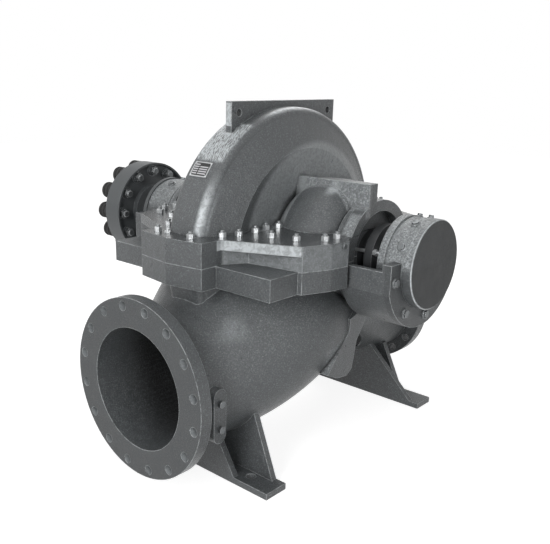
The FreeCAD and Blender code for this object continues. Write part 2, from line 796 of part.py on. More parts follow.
def glands():
    """Packing glands with a stud and a nut on each side."""
    start = box_end - size["recess_depth"]
    near = box_end + size["gland_stand"]
    far = near + size["gland_thick"]
    y = size["gland_stud_y"]
    z = size["gland_stud_z"]
    stud = size["gland_stud"]
    for side, sign in ENDS:
        blank = turned("gland_" + side, towards(sign, [
            (start, sleeve_clear),
            (start, size["gland_body"]),
            (near, size["gland_body"]),
            (near, size["gland_radius"]),
            (far, size["gland_radius"]),
            (far, sleeve_clear),
        ]))
        holes = []
        studs = []
        for number, across in ((1, -y), (2, y)):
            tag = "%s_%d" % (side, number)
            holes.append(drum("gland_hole_" + tag, sign, stud + size["bolt_gap"], near - 2, far + 2,
                              across, z))
            rod = drum("gland_rod_" + tag, sign, stud, start, far + stud * 4, across, z)
            nut_start = far if sign > 0 else -(far + stud * 1.6)
            nut = prism("gland_nut_" + tag, stud * 1.9, stud * 1.6, ALONG_X, nut_start, across, z)
            studs.append(fuse("gland_stud_" + tag, [rod, nut]))
        finish("gland_" + side, cut("gland_cut_" + side, blank, fuse("gland_holes_" + side, holes)))
        finish("gland_studs_" + side, fuse("gland_studs_%s_set" % side, studs))


def nose_studs():
    """Places of the four studs on the two noses."""
    near = size["nose_half"] - 64
    far = size["nose_half"] - 41
    rows = (-(size["nose_front"] - 24), size["nose_rear"] - 24)
    return [(near, rows[0]), (-far, rows[0]), (far, rows[1]), (-near, rows[1])]


def parting_places():
    """Places of all studs along the split flange, seen from above."""
    nose = size["nose_half"]
    row = size["cone_half"] + 12
    shoulder = size["shoulder_half"]
    end = size["box_radius"] + 24
    front = -size["ledge_front"]
    rear = size["ledge_rear"]
    far = size["left_studs_far"]
    close = size["left_studs_close"]
    right = [
        (nose - 22, front + 28, far),
        (row, front + 70, far),
        (row, front + 134, far),
        (row - 6, front + 184, far),
        (row, -(end + 3), close),
        (shoulder - 127, -(size["shoulder_front"] - 28), far),
        (shoulder - 57, -(size["shoulder_front"] - 44), far),
        (shoulder - 6, -(size["shoulder_front"] - 97), close),
        (shoulder - 2, -end, close),
        (nose - 11, rear - 22, far),
        (row, rear - 64, far),
        (row + 2, rear - 118, far),
        (row, end + 3, close),
        (shoulder - 127, size["shoulder_rear"] - 24, far),
        (shoulder - 57, size["shoulder_rear"] - 62, far),
    ]
    places = [(x, y) for x, y, out in right] + [(-(x + out), y) for x, y, out in right]
    return nose_studs() + places


def parting_bolts():
    top = size["upper_flange"]
    stud = size["stud_radius"]
    studs = []
    nuts = []
    for number, (x, y) in enumerate(parting_places(), start=1):
        studs.append(cylinder("parting_stud_%d" % number, stud, size["stud_stand"], ALONG_Z, x, y, top))
        blank = prism("nut_blank_%d" % number, size["nut_corner"], size["nut_high"], ALONG_Z, x, y, top)
        thread = cylinder("nut_thread_%d" % number, stud, size["nut_high"] * 3, ALONG_Z, x, y,
                          top - size["nut_high"])
        nuts.append(cut("parting_nut_%d" % number, blank, thread))
    finish("parting_studs", fuse("parting_stud_set", studs))
    finish("parting_nuts", fuse("parting_nut_set", nuts))
    screws = []
    for name, x, y in (("front", -size["nose_half"] / 3, -(size["nose_front"] - 26)),
                       ("rear", size["nose_half"] / 3, size["nose_rear"] - 26)):
        head = prism("screw_head_" + name, size["screw_radius"] * 1.5, size["screw_radius"], ALONG_Z,
                     x, y, top)
        shank = cylinder("screw_shank_" + name, size["screw_radius"] * 0.7, size["screw_radius"] * 2,
                         ALONG_Z, x, y, top)
        screws.append(fuse("screw_" + name, [head, shank]))
    finish("jacking_screws", fuse("jacking_screw_set", screws))


def casing_plugs():
    """Hex plugs on the suction pad, the flange ends and the bearing housings."""
    high = size["plug_stand"]
    corner = size["housing_plug"]
    heads = []
    inset = size["pad_plug_in"]
    for number, z in ((1, -(size["pad_top"] + inset)), (2, inset - size["pad_top"] - size["pad_length"])):
        heads.append(prism("pad_plug_%d" % number, corner, high, ALONG_X, size["pad_face"],
                           -size["pad_y"], z))
    finish("nozzle_plugs", fuse("nozzle_plug_set", heads))
    heads = []
    plug = size["flange_plug"]
    reach = size["flange_half"] + high / 3
    for side, sign in ENDS:
        heads.append(drum("flange_plug_" + side, sign, plug, reach - high * 2, reach,
                          -(size["flange_end"] + plug * 2.5), size["upper_flange"] - plug * 1.4))
    flange = flange_plate("plug_trim", "ledge", 1, size["upper_flange"])
    finish("casing_plugs", cut("casing_plug_set", fuse("flange_plug_set", heads), flange))


def housing_plugs():
    """Plugs and small studs on the bearing housings, standing out along a radius."""
    plug = size["housing_plug"]
    stud = size["housing_stud"]
    root = 3
    for side, sign in ENDS:
        end = cradle_end[sign]
        heads = []
        places = ((11, 23, plug), (12, 61, plug), (44, -15, stud), (11, -15, stud))
        if sign < 0:
            places = ((49, 23, plug), (86, -15, stud), (20, -15, stud))
        for number, (back, angle, corner) in enumerate(places, start=1):
            x = end - back if sign > 0 else back - end
            tilt = Rotation(Vector(1, 0, 0), angle)
            middle = tilt.multVec(Vector(0, 0, 1))
            heads.append(prism("housing_plug_%s_%d" % (side, number), corner, size["plug_stand"] + root,
                               tilt, x, (housing_body - root) * middle.y, (housing_body - root) * middle.z))
        collar = fuse("plug_heads_" + side, heads)
        core = drum("plug_core_" + side, sign, housing_body, housing_start, end)
        finish("housing_plugs_" + side, cut("plug_trim_" + side, collar, core))


def cradle_bolts():
    corner = size["cradle_bolt_corner"]
    high = size["cradle_bolt_high"]
    for side, sign in ENDS:
        x = cradle_end[sign] if sign > 0 else -(cradle_end[sign] + high)
        heads = []
        for number in range(4):
            angle = math.radians(size["cradle_bolt_first"].value + size["cradle_bolt_step"].value * number)
            heads.append(prism("cradle_bolt_%s_%d" % (side, number + 1), corner, high, ALONG_X, x,
                               size["cradle_bolt_circle"] * math.cos(angle),
                               size["cradle_bolt_circle"] * math.sin(angle)))
        finish("cradle_bolts_" + side, fuse("cradle_bolt_set_" + side, heads))


def nameplate():
    """A bare plate bent round the volute rim."""
    y = -size["rim_back"]
    z = -size["rim_low"]
    start = -(size["plate_x"] + size["plate_width"] / 2)
    shell = cylinder("plate_outer", size["rim_radius"] + size["plate_thick"], size["plate_width"],
                     ALONG_X, start, y, z)
    core = cylinder("plate_inner", size["rim_radius"], size["plate_width"] * 3, ALONG_X,
                    start - size["plate_width"], y, z)
    band = cut("plate_band", shell, core)
    reach = size["rim_radius"] * 1.2
    first = math.radians(180 - size["plate_angle"].value)
    last = math.radians(180 - size["plate_angle"].value - size["plate_arc"].value)
    corners = [(dim(0), dim(0)), (reach * math.cos(last), reach * math.sin(last)),
               (reach * math.cos(first), reach * math.sin(first))]
    wedge = extrude("plate_wedge", outline("plate_sector", corners, PLANE_YZ, start, y, z),
                    Vector(1, 0, 0), size["plate_width"])
    finish("nameplate", common("nameplate_solid", [band, wedge]))


def shaft_and_sleeves():
    journal = size["shaft_radius"]
    end = cradle_end[1] - 4
    finish("shaft", turned("shaft", [
        (-coupling_far, dim(0)),
        (-coupling_far, journal),
        (end, journal),
        (end, dim(0)),
    ]))
    for side, sign in ENDS:
        finish("shaft_sleeve_" + side, turned("shaft_sleeve_" + side, towards(sign, [
            (size["box_near"] / 2, journal),
            (size["box_near"] / 2, size["sleeve_radius"]),
            (cover_start - 12, size["sleeve_radius"]),
            (cover_start - 12, journal),
        ])))


def bush_corners(start):
    """Half profile of one rubber bush with its rings."""
    outer = size["bush_radius"]
    inner = outer - size["bush_groove"]
    corners = [(start, size["pin_radius"])]
    x = start
    for number in range(3):
        corners += [(x, outer), (x + size["bush_ring"], outer)]
        x = x + size["bush_ring"]
        if number < 2:
            corners += [(x, inner), (x + size["bush_groove"], inner)]
            x = x + size["bush_groove"]
    return corners + [(x, size["pin_radius"])]


def coupling():
    rim = size["coupling_radius"]
    hub = size["coupling_hub"]
    journal = size["shaft_radius"]
    near = size["coupling_near"]
    floor = recess_floor
    hub_near = floor - size["hub_stand"]
    blank = turned("coupling_blank", towards(-1, [
        (hub_near, journal),
        (hub_near, hub),
        (floor, hub),
        (floor, rim - size["coupling_lip"]),
        (near, rim - size["coupling_lip"]),
        (near, rim),
        (coupling_far, rim),
        (coupling_far, journal),
    ]))
    nut_far = floor - size["pin_nut_high"]
    pin_near = nut_far - size["pin_tip"]
    pin_far = coupling_far + bush_length + size["pin_tip"]
    pin = size["pin_radius"]
    holes = []
    pins = []
    bushes = []
    nuts = []
    count = int(round(size["pin_count"].value))
    bush_profile = bush_corners(coupling_far)
    for index in range(count):
        angle = math.radians(360.0 * index / count)
        y = size["pin_circle"] * math.cos(angle)
        z = size["pin_circle"] * math.sin(angle)
        tag = "_%d" % (index + 1)
        holes.append(drum("pin_hole" + tag, -1, pin, near - floor, pin_far, y, z))
        pins.append(drum("pin" + tag, -1, pin, pin_near, pin_far, y, z))
        sketch = outline("bush_profile" + tag, mirrored(bush_profile), PLANE_XZ, 0, y, z)
        bushes.append(revolve("bush" + tag, sketch, y=y, z=z))
        nut = prism("pin_nut_blank" + tag, size["pin_nut"], size["pin_nut_high"], ALONG_X, -floor, y, z)
        thread = drum("pin_thread" + tag, -1, pin, pin_near - 2, floor + 2, y, z)
        nuts.append(cut("pin_nut" + tag, nut, thread))
    finish("coupling_half", cut("coupling_half_solid", blank, fuse("pin_holes", holes)))
    finish("coupling_pins", fuse("coupling_pin_set", pins))
    finish("coupling_bushes", fuse("coupling_bush_set", bushes))
    finish("coupling_nuts", fuse("coupling_nut_set", nuts))


def check_document():
    """Stop if any object failed or a finished sub-part isn't a valid solid."""
    for item in document.Objects:
        if "Invalid" in item.State or "Error" in item.State:
            raise RuntimeError("%s failed: %s" % (item.Name, item.State))
    for name, item in parts.items():
        shape = item.Shape
        if shape.isNull() or not shape.isValid() or not shape.Solids:
            raise RuntimeError("%s has no valid solid" % name)


def write_parts():
    os.makedirs("parts", exist_ok=True)
    for name, item in parts.items():
        item.Shape.exportStep("parts/%s.step" % name)
        extent = item.Shape.BoundBox
        print("%-26s %2d solids %9.1f cm3  x %7.1f %7.1f  y %7.1f %7.1f  z %7.1f %7.1f" % (
            name, len(item.Shape.Solids), item.Shape.Volume / 1000.0,
            extent.XMin, extent.XMax, extent.YMin, extent.YMax, extent.ZMin, extent.ZMax))


upper_casing()
lower_casing()
bearing_housings()
end_covers()
glands()
parting_bolts()
casing_plugs()
housing_plugs()
cradle_bolts()
nameplate()
shaft_and_sleeves()
coupling()
document.recompute()
check_document()
write_parts()
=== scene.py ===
import math

import bpy
from bpy.props import FloatProperty, FloatVectorProperty, IntProperty, PointerProperty
from mathutils import Matrix, Vector


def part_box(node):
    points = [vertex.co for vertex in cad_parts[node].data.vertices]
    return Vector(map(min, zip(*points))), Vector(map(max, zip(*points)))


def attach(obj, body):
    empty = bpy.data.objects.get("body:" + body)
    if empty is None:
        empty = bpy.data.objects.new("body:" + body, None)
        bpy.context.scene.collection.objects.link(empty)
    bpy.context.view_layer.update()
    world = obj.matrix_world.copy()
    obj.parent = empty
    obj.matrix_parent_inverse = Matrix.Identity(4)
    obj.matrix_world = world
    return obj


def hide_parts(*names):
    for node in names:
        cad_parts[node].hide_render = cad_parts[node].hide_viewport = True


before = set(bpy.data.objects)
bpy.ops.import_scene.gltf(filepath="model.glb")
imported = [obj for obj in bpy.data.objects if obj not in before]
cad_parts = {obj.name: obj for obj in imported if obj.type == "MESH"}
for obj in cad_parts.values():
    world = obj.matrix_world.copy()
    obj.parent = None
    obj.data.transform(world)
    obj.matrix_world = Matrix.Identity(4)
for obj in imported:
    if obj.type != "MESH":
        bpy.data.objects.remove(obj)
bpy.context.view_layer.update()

bl_info = {
    "name": "Split Case Pump Dressing",
    "version": (1, 0, 0),
    "blender": (4, 5, 0),
    "location": "3D View > Sidebar > Pump",
    "description": "Finishes, fasteners, plate and studio for a split case pump",
    "category": "Object",
}

# Places on the pump, in metres: X along the shaft, the suction nozzle at -Y, Z up

SHAFT = 0.595
SUCTION = {"x": 0.0, "z": 0.275, "face": -0.6, "bore": 0.166, "pitch": 0.2225, "hole": 0.0125}
DISCHARGE = {"x": 0.0, "z": 0.272, "face": 0.545, "bore": 0.125}
VOLUTE = {"y": -0.042, "z": 0.579, "rim": 0.398}
PIN = {"radius": 0.011, "pitch": 0.002, "chamfer": 0.002}
BUSH = {"radius": 0.028, "ring": 0.012, "groove": 0.004, "rings": 3}
HOUSING = {"seat": 0.1175, "plug_top": 0.127}
THREAD_TIP = 0.0012
SAME_PLANE = math.radians(0.5)
PLATE_MARGIN = 0.004
PLATE_ROWS = 5

# Layers of casting paint, named as CastPaint names them; several of them paint highlights, sheen and shade
# into the colour. Most areas are boxes: a low corner, a high corner, the width of the soft margins and the
# share of the layer.

LOWER_PAINT = {
    # Rough skin lightened with painted sparkle.
    "rough_cast_painted_sparkle": [
        ((0.14, -0.02, 0.28), (0.30, 0.40, 0.41), 0.03, 0.7),
        ((0.25, -0.17, 0.25), (0.2985, -0.03, 0.38), (0.001, 0.02, 0.02), 0.9),
    ],
    # Painted highlight along the top of the suction neck under the block.
    "bright": [((0.15, -0.52, 0.42), (0.26, -0.39, 0.50), 0.03, 0.4)],
    # Painted shade: the suction face and the cradle plate at the free end.
    "painted_shade_faces": [
        ((-0.3, -0.602, 0.0), (0.3, -0.5992, 0.6), 0.0004, 0.45),
        ((0.452, -0.2, 0.4), (0.475, 0.2, 0.62), 0.001, 0.3),
    ],
    # Painted light on the walls of the suction flange's bolt holes.
    "painted_light_hole_walls": [(SUCTION["x"], SUCTION["z"], SUCTION["pitch"], SUCTION["hole"],
                    SUCTION["face"] + 0.002, SUCTION["face"] + 0.034)],
    # Painted shade inside the suction and discharge bores.
    "painted_bore_shade": [
        (SUCTION["x"], SUCTION["z"], SUCTION["bore"],
         SUCTION["face"] + 0.005, SUCTION["face"] + 0.20, 0.0),
        (DISCHARGE["x"], DISCHARGE["z"], DISCHARGE["bore"],
         DISCHARGE["face"] - 0.01, DISCHARGE["face"] - 0.2, 1.0),
    ],
}
UPPER_PAINT = {
    # Rough skin lightened with painted sparkle and highlights.
    "rough_cast_painted_sparkle": [
        ((0.085, -0.075, 0.70), (0.335, -0.055, 0.80), 0.006, 0.7),
        ((0.292, -0.16, 0.655), (0.322, -0.09, 0.72), 0.006, 1.0),
        ((0.05, -0.47, 0.60), (0.105, -0.40, 0.655), 0.008, 0.6),
    ],
    # Painted sheen on the marked band of the volute rim.
    "ridges_painted_sheen": [((-0.05, -0.37, 0.846), (0.05, -0.22, 0.965), 0.006, 1.0)],
    # Painted highlights and sheen: the ledge front, a streak down the volute rim, a streak along its top,
    # the right front, a glint on the dome and the flange front below the ledge; the last box is a light
    # mark on the lug top.
    "bright": [
        ((0.09, -0.42, 0.634), (0.306, -0.27, 0.6600), 0.0015, 0.8),
        ((0.042, -0.46, 0.62), (0.060, -0.33, 0.77), (0.008, 0.02, 0.06), 1.0),
        ((0.042, -0.15, 0.90), (0.054, 0.08, 0.985), (0.006, 0.04, 0.02), 1.0),
        ((0.29, -0.34, 0.595), (0.36, -0.16, 0.66), 0.004, 0.2),
        ((0.205, -0.115, 0.762), (0.232, -0.066, 0.80), (0.012, 0.012, 0.012), 1.0),
        ((0.095, -0.40, 0.595), (0.30, -0.27, 0.632), 0.003, 0.25),
        ((-0.009, -0.264, 0.93), (0.009, -0.258, 0.99), 0.002, 0.8),
    ],
    "gloss": [((-0.36, -0.5, 0.6604), (0.36, 0.5, 0.6616), 0.0003, 1.0)],
    # Pitted faces round the shaft, lightened as painted light.
    "pitted_dishes_painted_light": [(0.150, 0.285, 0.06)],
}
BARREL_PAINT = {
    # Upper halves of the bearing housings: rough skin lightened with painted sparkle and highlights.
    "rough_cast_painted_sparkle": [
        ((0.397, -0.14, 0.60), (0.4965, 0.02, 0.73), 0.01, 1.0),
        ((-0.523, -0.14, 0.64), (-0.415, 0.02, 0.73), 0.02, 1.0),
    ],
    # Painted highlight: a bright ring at the edge of the end cap.
    "bright": [((0.4972, -0.2, 0.4), (0.4992, 0.2, 0.8), 0.0004, 1.0)],
    # Painted shade: the face of the end cap.
    "painted_shade_faces": [((0.4998, -0.2, 0.4), (0.52, 0.2, 0.8), 0.0002, 0.85)],
}
# Painted shade: the near black laid deep in the nozzle bores.
BORE_SHADE_BLACK = (0.004, 0.0042, 0.0045)
# Painted shade: the near black laid into corners and slots.
CREVICE_SHADE_BLACK = (0.006, 0.0065, 0.007)
# Light edge colours: paint or plating worn thin, and painted highlights along edges.
PLATED_EDGE_WEAR_AND_HIGHLIGHT = (0.75, 0.77, 0.78)
ENAMEL_BLACK = (0.008, 0.0085, 0.009)
# Enamel edges: wear and a faint painted highlight.
ENAMEL_EDGE_WEAR_AND_HIGHLIGHT = (0.02, 0.02, 0.021)

# The studio. Each lamp has a name, its direction from the pump, its distance and its size.

LAMPS = [
    ("key", (0.25, -0.88, 0.35), 3.2, (0.6, 1.8)),
    ("left", (-0.55, -0.75, 0.45), 3.2, (1.2, 1.2)),
    ("flash", (0.78, -0.60, 0.20), 2.6, (0.4, 0.4)),
    ("top", (-0.10, -0.35, 0.93), 3.0, (1.2, 1.2)),
    ("back", (-0.42, 0.66, 0.75), 3.0, (1.6, 1.6)),
    ("side", (0.90, 0.30, 0.25), 3.0, (1.0, 1.0)),
]
LIT_POINT = (0.0, 0.0, 0.45)
WHITE = (1.0, 1.0, 1.0, 1.0)
FLOOR = {
    "glow": 0.86, "far_glow": 0.16, "near": 0.9, "far": 2.4,
    "shown": (0.45, 0.45, 0.45, 1.0), "bounce": (0.62, 0.62, 0.62, 1.0),
}


# Selection and modelling

def deselect():
    bpy.ops.object.select_all(action="DESELECT")


def select_only(piece):
    deselect()
    piece.select_set(True)
    bpy.context.view_layer.objects.active = piece


def lathe(profile, sides):
    """A round piece along Z, drawn out ring by ring from a list of heights and radii."""
    deselect()
    height, radius = profile[0]
    bpy.ops.mesh.primitive_circle_add(vertices=sides, radius=radius, fill_type="NGON",
                                      location=(0, 0, height))
    piece = bpy.context.object
    bpy.ops.object.transform_apply(location=True, rotation=True, scale=True)
    bpy.ops.object.mode_set(mode="EDIT")
    bpy.ops.mesh.select_mode(type="FACE")
    bpy.ops.mesh.select_all(action="SELECT")
    for upper, wide in profile[1:]:
        bpy.ops.mesh.extrude_region_move(TRANSFORM_OT_translate={"value": (0, 0, upper - height)})
        share = wide / radius
        if abs(share - 1) > 1e-6:
            bpy.ops.transform.resize(value=(share, share, 1), center_override=(0, 0, upper))
        height, radius = upper, wide
    bpy.ops.mesh.select_all(action="SELECT")
    bpy.ops.mesh.normals_make_consistent(inside=False)
    bpy.ops.object.mode_set(mode="OBJECT")
    return piece


def hexagon(corner, high, chamfer):
    """A six sided nut or bolt head along Z with its corners chamfered, standing on z = 0."""
    deselect()
    bpy.ops.mesh.primitive_cylinder_add(vertices=6, radius=corner, depth=high, location=(0, 0, high / 2))
    blank = bpy.context.object
    bpy.ops.object.transform_apply(location=True, rotation=True, scale=True)
    cone = lathe([(0, corner * 0.97), (chamfer / 2, corner * 1.02), (high - chamfer, corner * 1.02),
                  (high, corner * 0.88)], 36)
    select_only(blank)
    trim = blank.modifiers.new("trim", "BOOLEAN")
    trim.operation = "INTERSECT"
    trim.solver = "EXACT"
    trim.object = cone
    bpy.ops.object.modifier_apply(modifier=trim.name)
    bpy.data.objects.remove(cone)
    bpy.ops.object.mode_set(mode="EDIT")
    bpy.ops.mesh.select_all(action="SELECT")
    bpy.ops.mesh.dissolve_limited(angle_limit=SAME_PLANE)
    bpy.ops.object.mode_set(mode="OBJECT")
    return blank


def thread(radius, length, pitch):
    """Profile of a threaded stud: a row of crests and roots and a chamfered tip."""
    root = radius * 0.87
    rows = [(0.0, root)]
    height = 0.0
    while height + pitch < length - THREAD_TIP:
        rows += [(height + pitch * 0.35, radius), (height + pitch * 0.6, radius), (height + pitch, root)]
        height += pitch
    return rows + [(length - THREAD_TIP, radius * 0.95), (length, radius * 0.8)]


def join(pieces):
    deselect()
    for piece in pieces:
        piece.select_set(True)
    bpy.context.view_layer.objects.active = pieces[0]
    if len(pieces) > 1:
        bpy.ops.object.join()
    return bpy.context.object


def copies(pattern, places):
    """One joined piece with a copy of the pattern at each place, a list of 4 by 4 matrices."""
    made = []
    for place in places:
        select_only(pattern)
        bpy.ops.object.duplicate(linked=False)
        copy = bpy.context.object
        copy.matrix_world = place
        made.append(copy)
    bpy.data.objects.remove(pattern)
    for copy in made:
        copy.select_set(True)
    piece = join(made)
    select_only(piece)
    bpy.ops.object.transform_apply(location=True, rotation=True, scale=True)
    return piece


def along(direction, point, turn=0.0):
    """The place of a piece whose Z axis points along a direction."""
    spin = Matrix.Rotation(turn, 4, "Z")
    return Matrix.Translation(point) @ Vector(direction).to_track_quat("Z", "Y").to_matrix().to_4x4() @ spin


def islands(node):
    """Boxes round the separate solids of a CAD node, as pairs of corners."""
    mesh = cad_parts[node].data
    keys = [tuple(round(value, 5) for value in vertex.co) for vertex in mesh.vertices]
    group = {key: key for key in keys}

    def leader(key):
        while group[key] != key:
            group[key] = group[group[key]]
            key = group[key]
        return key

    for polygon in mesh.polygons:
        first = leader(keys[polygon.vertices[0]])
        for index in polygon.vertices[1:]:
            group[leader(keys[index])] = first
    boxes = {}
    for key in group:
        low, high = boxes.setdefault(leader(key), (Vector(key), Vector(key)))
        for axis in range(3):
            low[axis] = min(low[axis], key[axis])
            high[axis] = max(high[axis], key[axis])
    return [boxes[key] for key in sorted(boxes)]


def finish_piece(piece, name, body, material, nodes=(), angle=32):
    """Names a piece, smooths it up to an angle, and gives it its finish and body."""
    piece.name = name
    piece.data.name = name
    select_only(piece)
    bpy.ops.object.shade_smooth_by_angle(angle=math.radians(angle))
    piece.data.materials.clear()
    piece.data.materials.append(material)
    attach(piece, body)
    if nodes:
        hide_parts(*nodes)
    deselect()
    return piece


# Shader arithmetic

class Value:
    """A shader output that takes part in arithmetic: each operation adds its Math node."""

    def __init__(self, shading, socket):
        self.shading = shading
        self.socket = socket

    def __add__(self, other):
        return self.shading.math("ADD", self, other)

    def __radd__(self, other):
        return self.shading.math("ADD", other, self)

    def __sub__(self, other):
        return self.shading.math("SUBTRACT", self, other)

    def __rsub__(self, other):
        return self.shading.math("SUBTRACT", other, self)

    def __mul__(self, other):
        return self.shading.math("MULTIPLY", self, other)

    def __rmul__(self, other):
        return self.shading.math("MULTIPLY", other, self)

    def __pow__(self, other):
        return self.shading.math("POWER", self, other)

    def __abs__(self):
        return self.shading.math("ABSOLUTE", self)

    def atop(self, other):
        """The larger of two masks."""
        return self.shading.math("MAXIMUM", self, other)


class Shading:
    """The node tree of a material or a world, emptied and built anew."""

    def __init__(self, owner):
        owner.use_nodes = True
        self.tree = owner.node_tree
        self.tree.nodes.clear()

    def node(self, kind, settings=None, inputs=None, output=0):
        """Any shader node, from its type, its settings and the values or links of its sockets."""
        made = self.tree.nodes.new(kind)
        for key, value in (settings or {}).items():
            setattr(made, key, value)
        for key, value in (inputs or {}).items():
            self.feed(made.inputs[key], value)
        return Value(self, made.outputs[output])

    def feed(self, socket, value):
        if isinstance(value, Value):
            self.tree.links.new(value.socket, socket)
        else:
            socket.default_value = value

    def math(self, operation, first, second=0.0):
        return self.node("ShaderNodeMath", {"operation": operation}, {0: first, 1: second})

    def show(self, kind, shader):
        """Adds the output of the tree and feeds it with a shader."""
        self.output = self.tree.nodes.new(kind)
        self.feed(self.output.inputs["Surface"], shader)

    def seen_directly(self):
        """1 for rays that show the background itself, also in gloss and glass."""
        path = self.tree.nodes.new("ShaderNodeLightPath")
        camera, gloss, glass = (Value(self, path.outputs[name])
                                for name in ("Is Camera Ray", "Is Glossy Ray", "Is Transmission Ray"))
        return camera.atop(gloss).atop(glass)


class Finish(Shading):
    """A material under construction, with its shader and its place on the object."""

    def __init__(self, name):
        self.material = bpy.data.materials.new(name)
        super().__init__(self.material)
        self.shader = self.tree.nodes.new("ShaderNodeBsdfPrincipled")
        self.show("ShaderNodeOutputMaterial", Value(self, self.shader.outputs["BSDF"]))
        self.place = self.node("ShaderNodeTexCoord", output="Object")
        split = self.node("ShaderNodeSeparateXYZ", inputs={"Vector": self.place})
        parts = split.socket.node.outputs
        self.x, self.y, self.z = (Value(self, parts[axis]) for axis in "XYZ")

    def noise(self, scale, detail, rough=0.5, warp=0.0, place=None):
        return self.node("ShaderNodeTexNoise", None,
                         {"Vector": place or self.place, "Scale": scale, "Detail": detail,
                          "Roughness": rough, "Distortion": warp})

    def stretched(self, amounts):
        """The object's place, stretched along its axes."""
        return self.node("ShaderNodeMapping", None, {"Vector": self.place, "Scale": amounts})

    def step(self, value, low, high):
        """A soft step from 0 at low to 1 at high."""
        return self.node("ShaderNodeMapRange", {"interpolation_type": "SMOOTHSTEP"},
                         {"Value": value, "From Min": low, "From Max": high})

    def between(self, value, low, high, soft):
        """1 between two values and 0 outside, with soft ends."""
        return self.step(value, low - soft, low + soft) * self.step(value, high + soft, high - soft)

    def zones(self, boxes):
        """A mask over boxes, each a low corner, a high corner, the soft margins and a share."""
        mask = None
        for low, high, soft, share in boxes:
            margins = soft if isinstance(soft, tuple) else (soft,) * 3
            inside = share
            for axis, value in enumerate((self.x, self.y, self.z)):
                inside = self.between(value, low[axis], high[axis], margins[axis]) * inside
            mask = inside if mask is None else mask.atop(inside)
        return mask

    def mix(self, share, first, second):
        """A colour between two others."""
        return self.node("ShaderNodeMix", {"data_type": "RGBA"}, {0: share, 6: first, 7: second}, 2)

    def bump(self, height, distance, strength, normal=None):
        inputs = {"Height": height, "Distance": distance, "Strength": strength}
        if normal:
            inputs["Normal"] = normal
        return self.node("ShaderNodeBump", None, inputs)

    def soft_edges(self, radius):
        """The normal of the surface with its edges rounded."""
        return self.node("ShaderNodeBevel", {"samples": 6}, {"Radius": radius})

    def worn_and_highlit_edges(self, normal):
        """1 where a rounded normal leaves the surface's own, 0 on plain surfaces: the edges that get wear
        and painted highlights.
        """
        flat = self.node("ShaderNodeNewGeometry", output="Normal")
        alike = self.node("ShaderNodeVectorMath", {"operation": "DOT_PRODUCT"}, {0: flat, 1: normal}, 1)
        return self.step(1.0 - alike, 0.01, 0.1)

    def painted_crevice_shade(self, reach):
        """1 deep in corners and slots of the same piece, 0 on open surfaces: where the painted shade goes.
        """
        open_sky = self.node("ShaderNodeAmbientOcclusion", {"samples": 6, "only_local": True},
                             {"Distance": reach}, "AO")
        return self.step(open_sky, 0.72, 0.3)

    def radial(self, across, up, across_middle, up_middle):
        """Distance from an axis."""
        return self.math("SQRT", (across - across_middle) ** 2 + (up - up_middle) ** 2)

    def set(self, **values):
        """Feeds the shader and gives the finished material."""
        names = {"colour": "Base Color", "rough": "Roughness", "metal": "Metallic", "normal": "Normal",
                 "specular": "Specular IOR Level"}
        for key, value in values.items():
            self.feed(self.shader.inputs[names[key]], value)
        return self.material


def rgba(colour, share=1.0):
    return tuple(channel * share for channel in colour) + (1.0,)


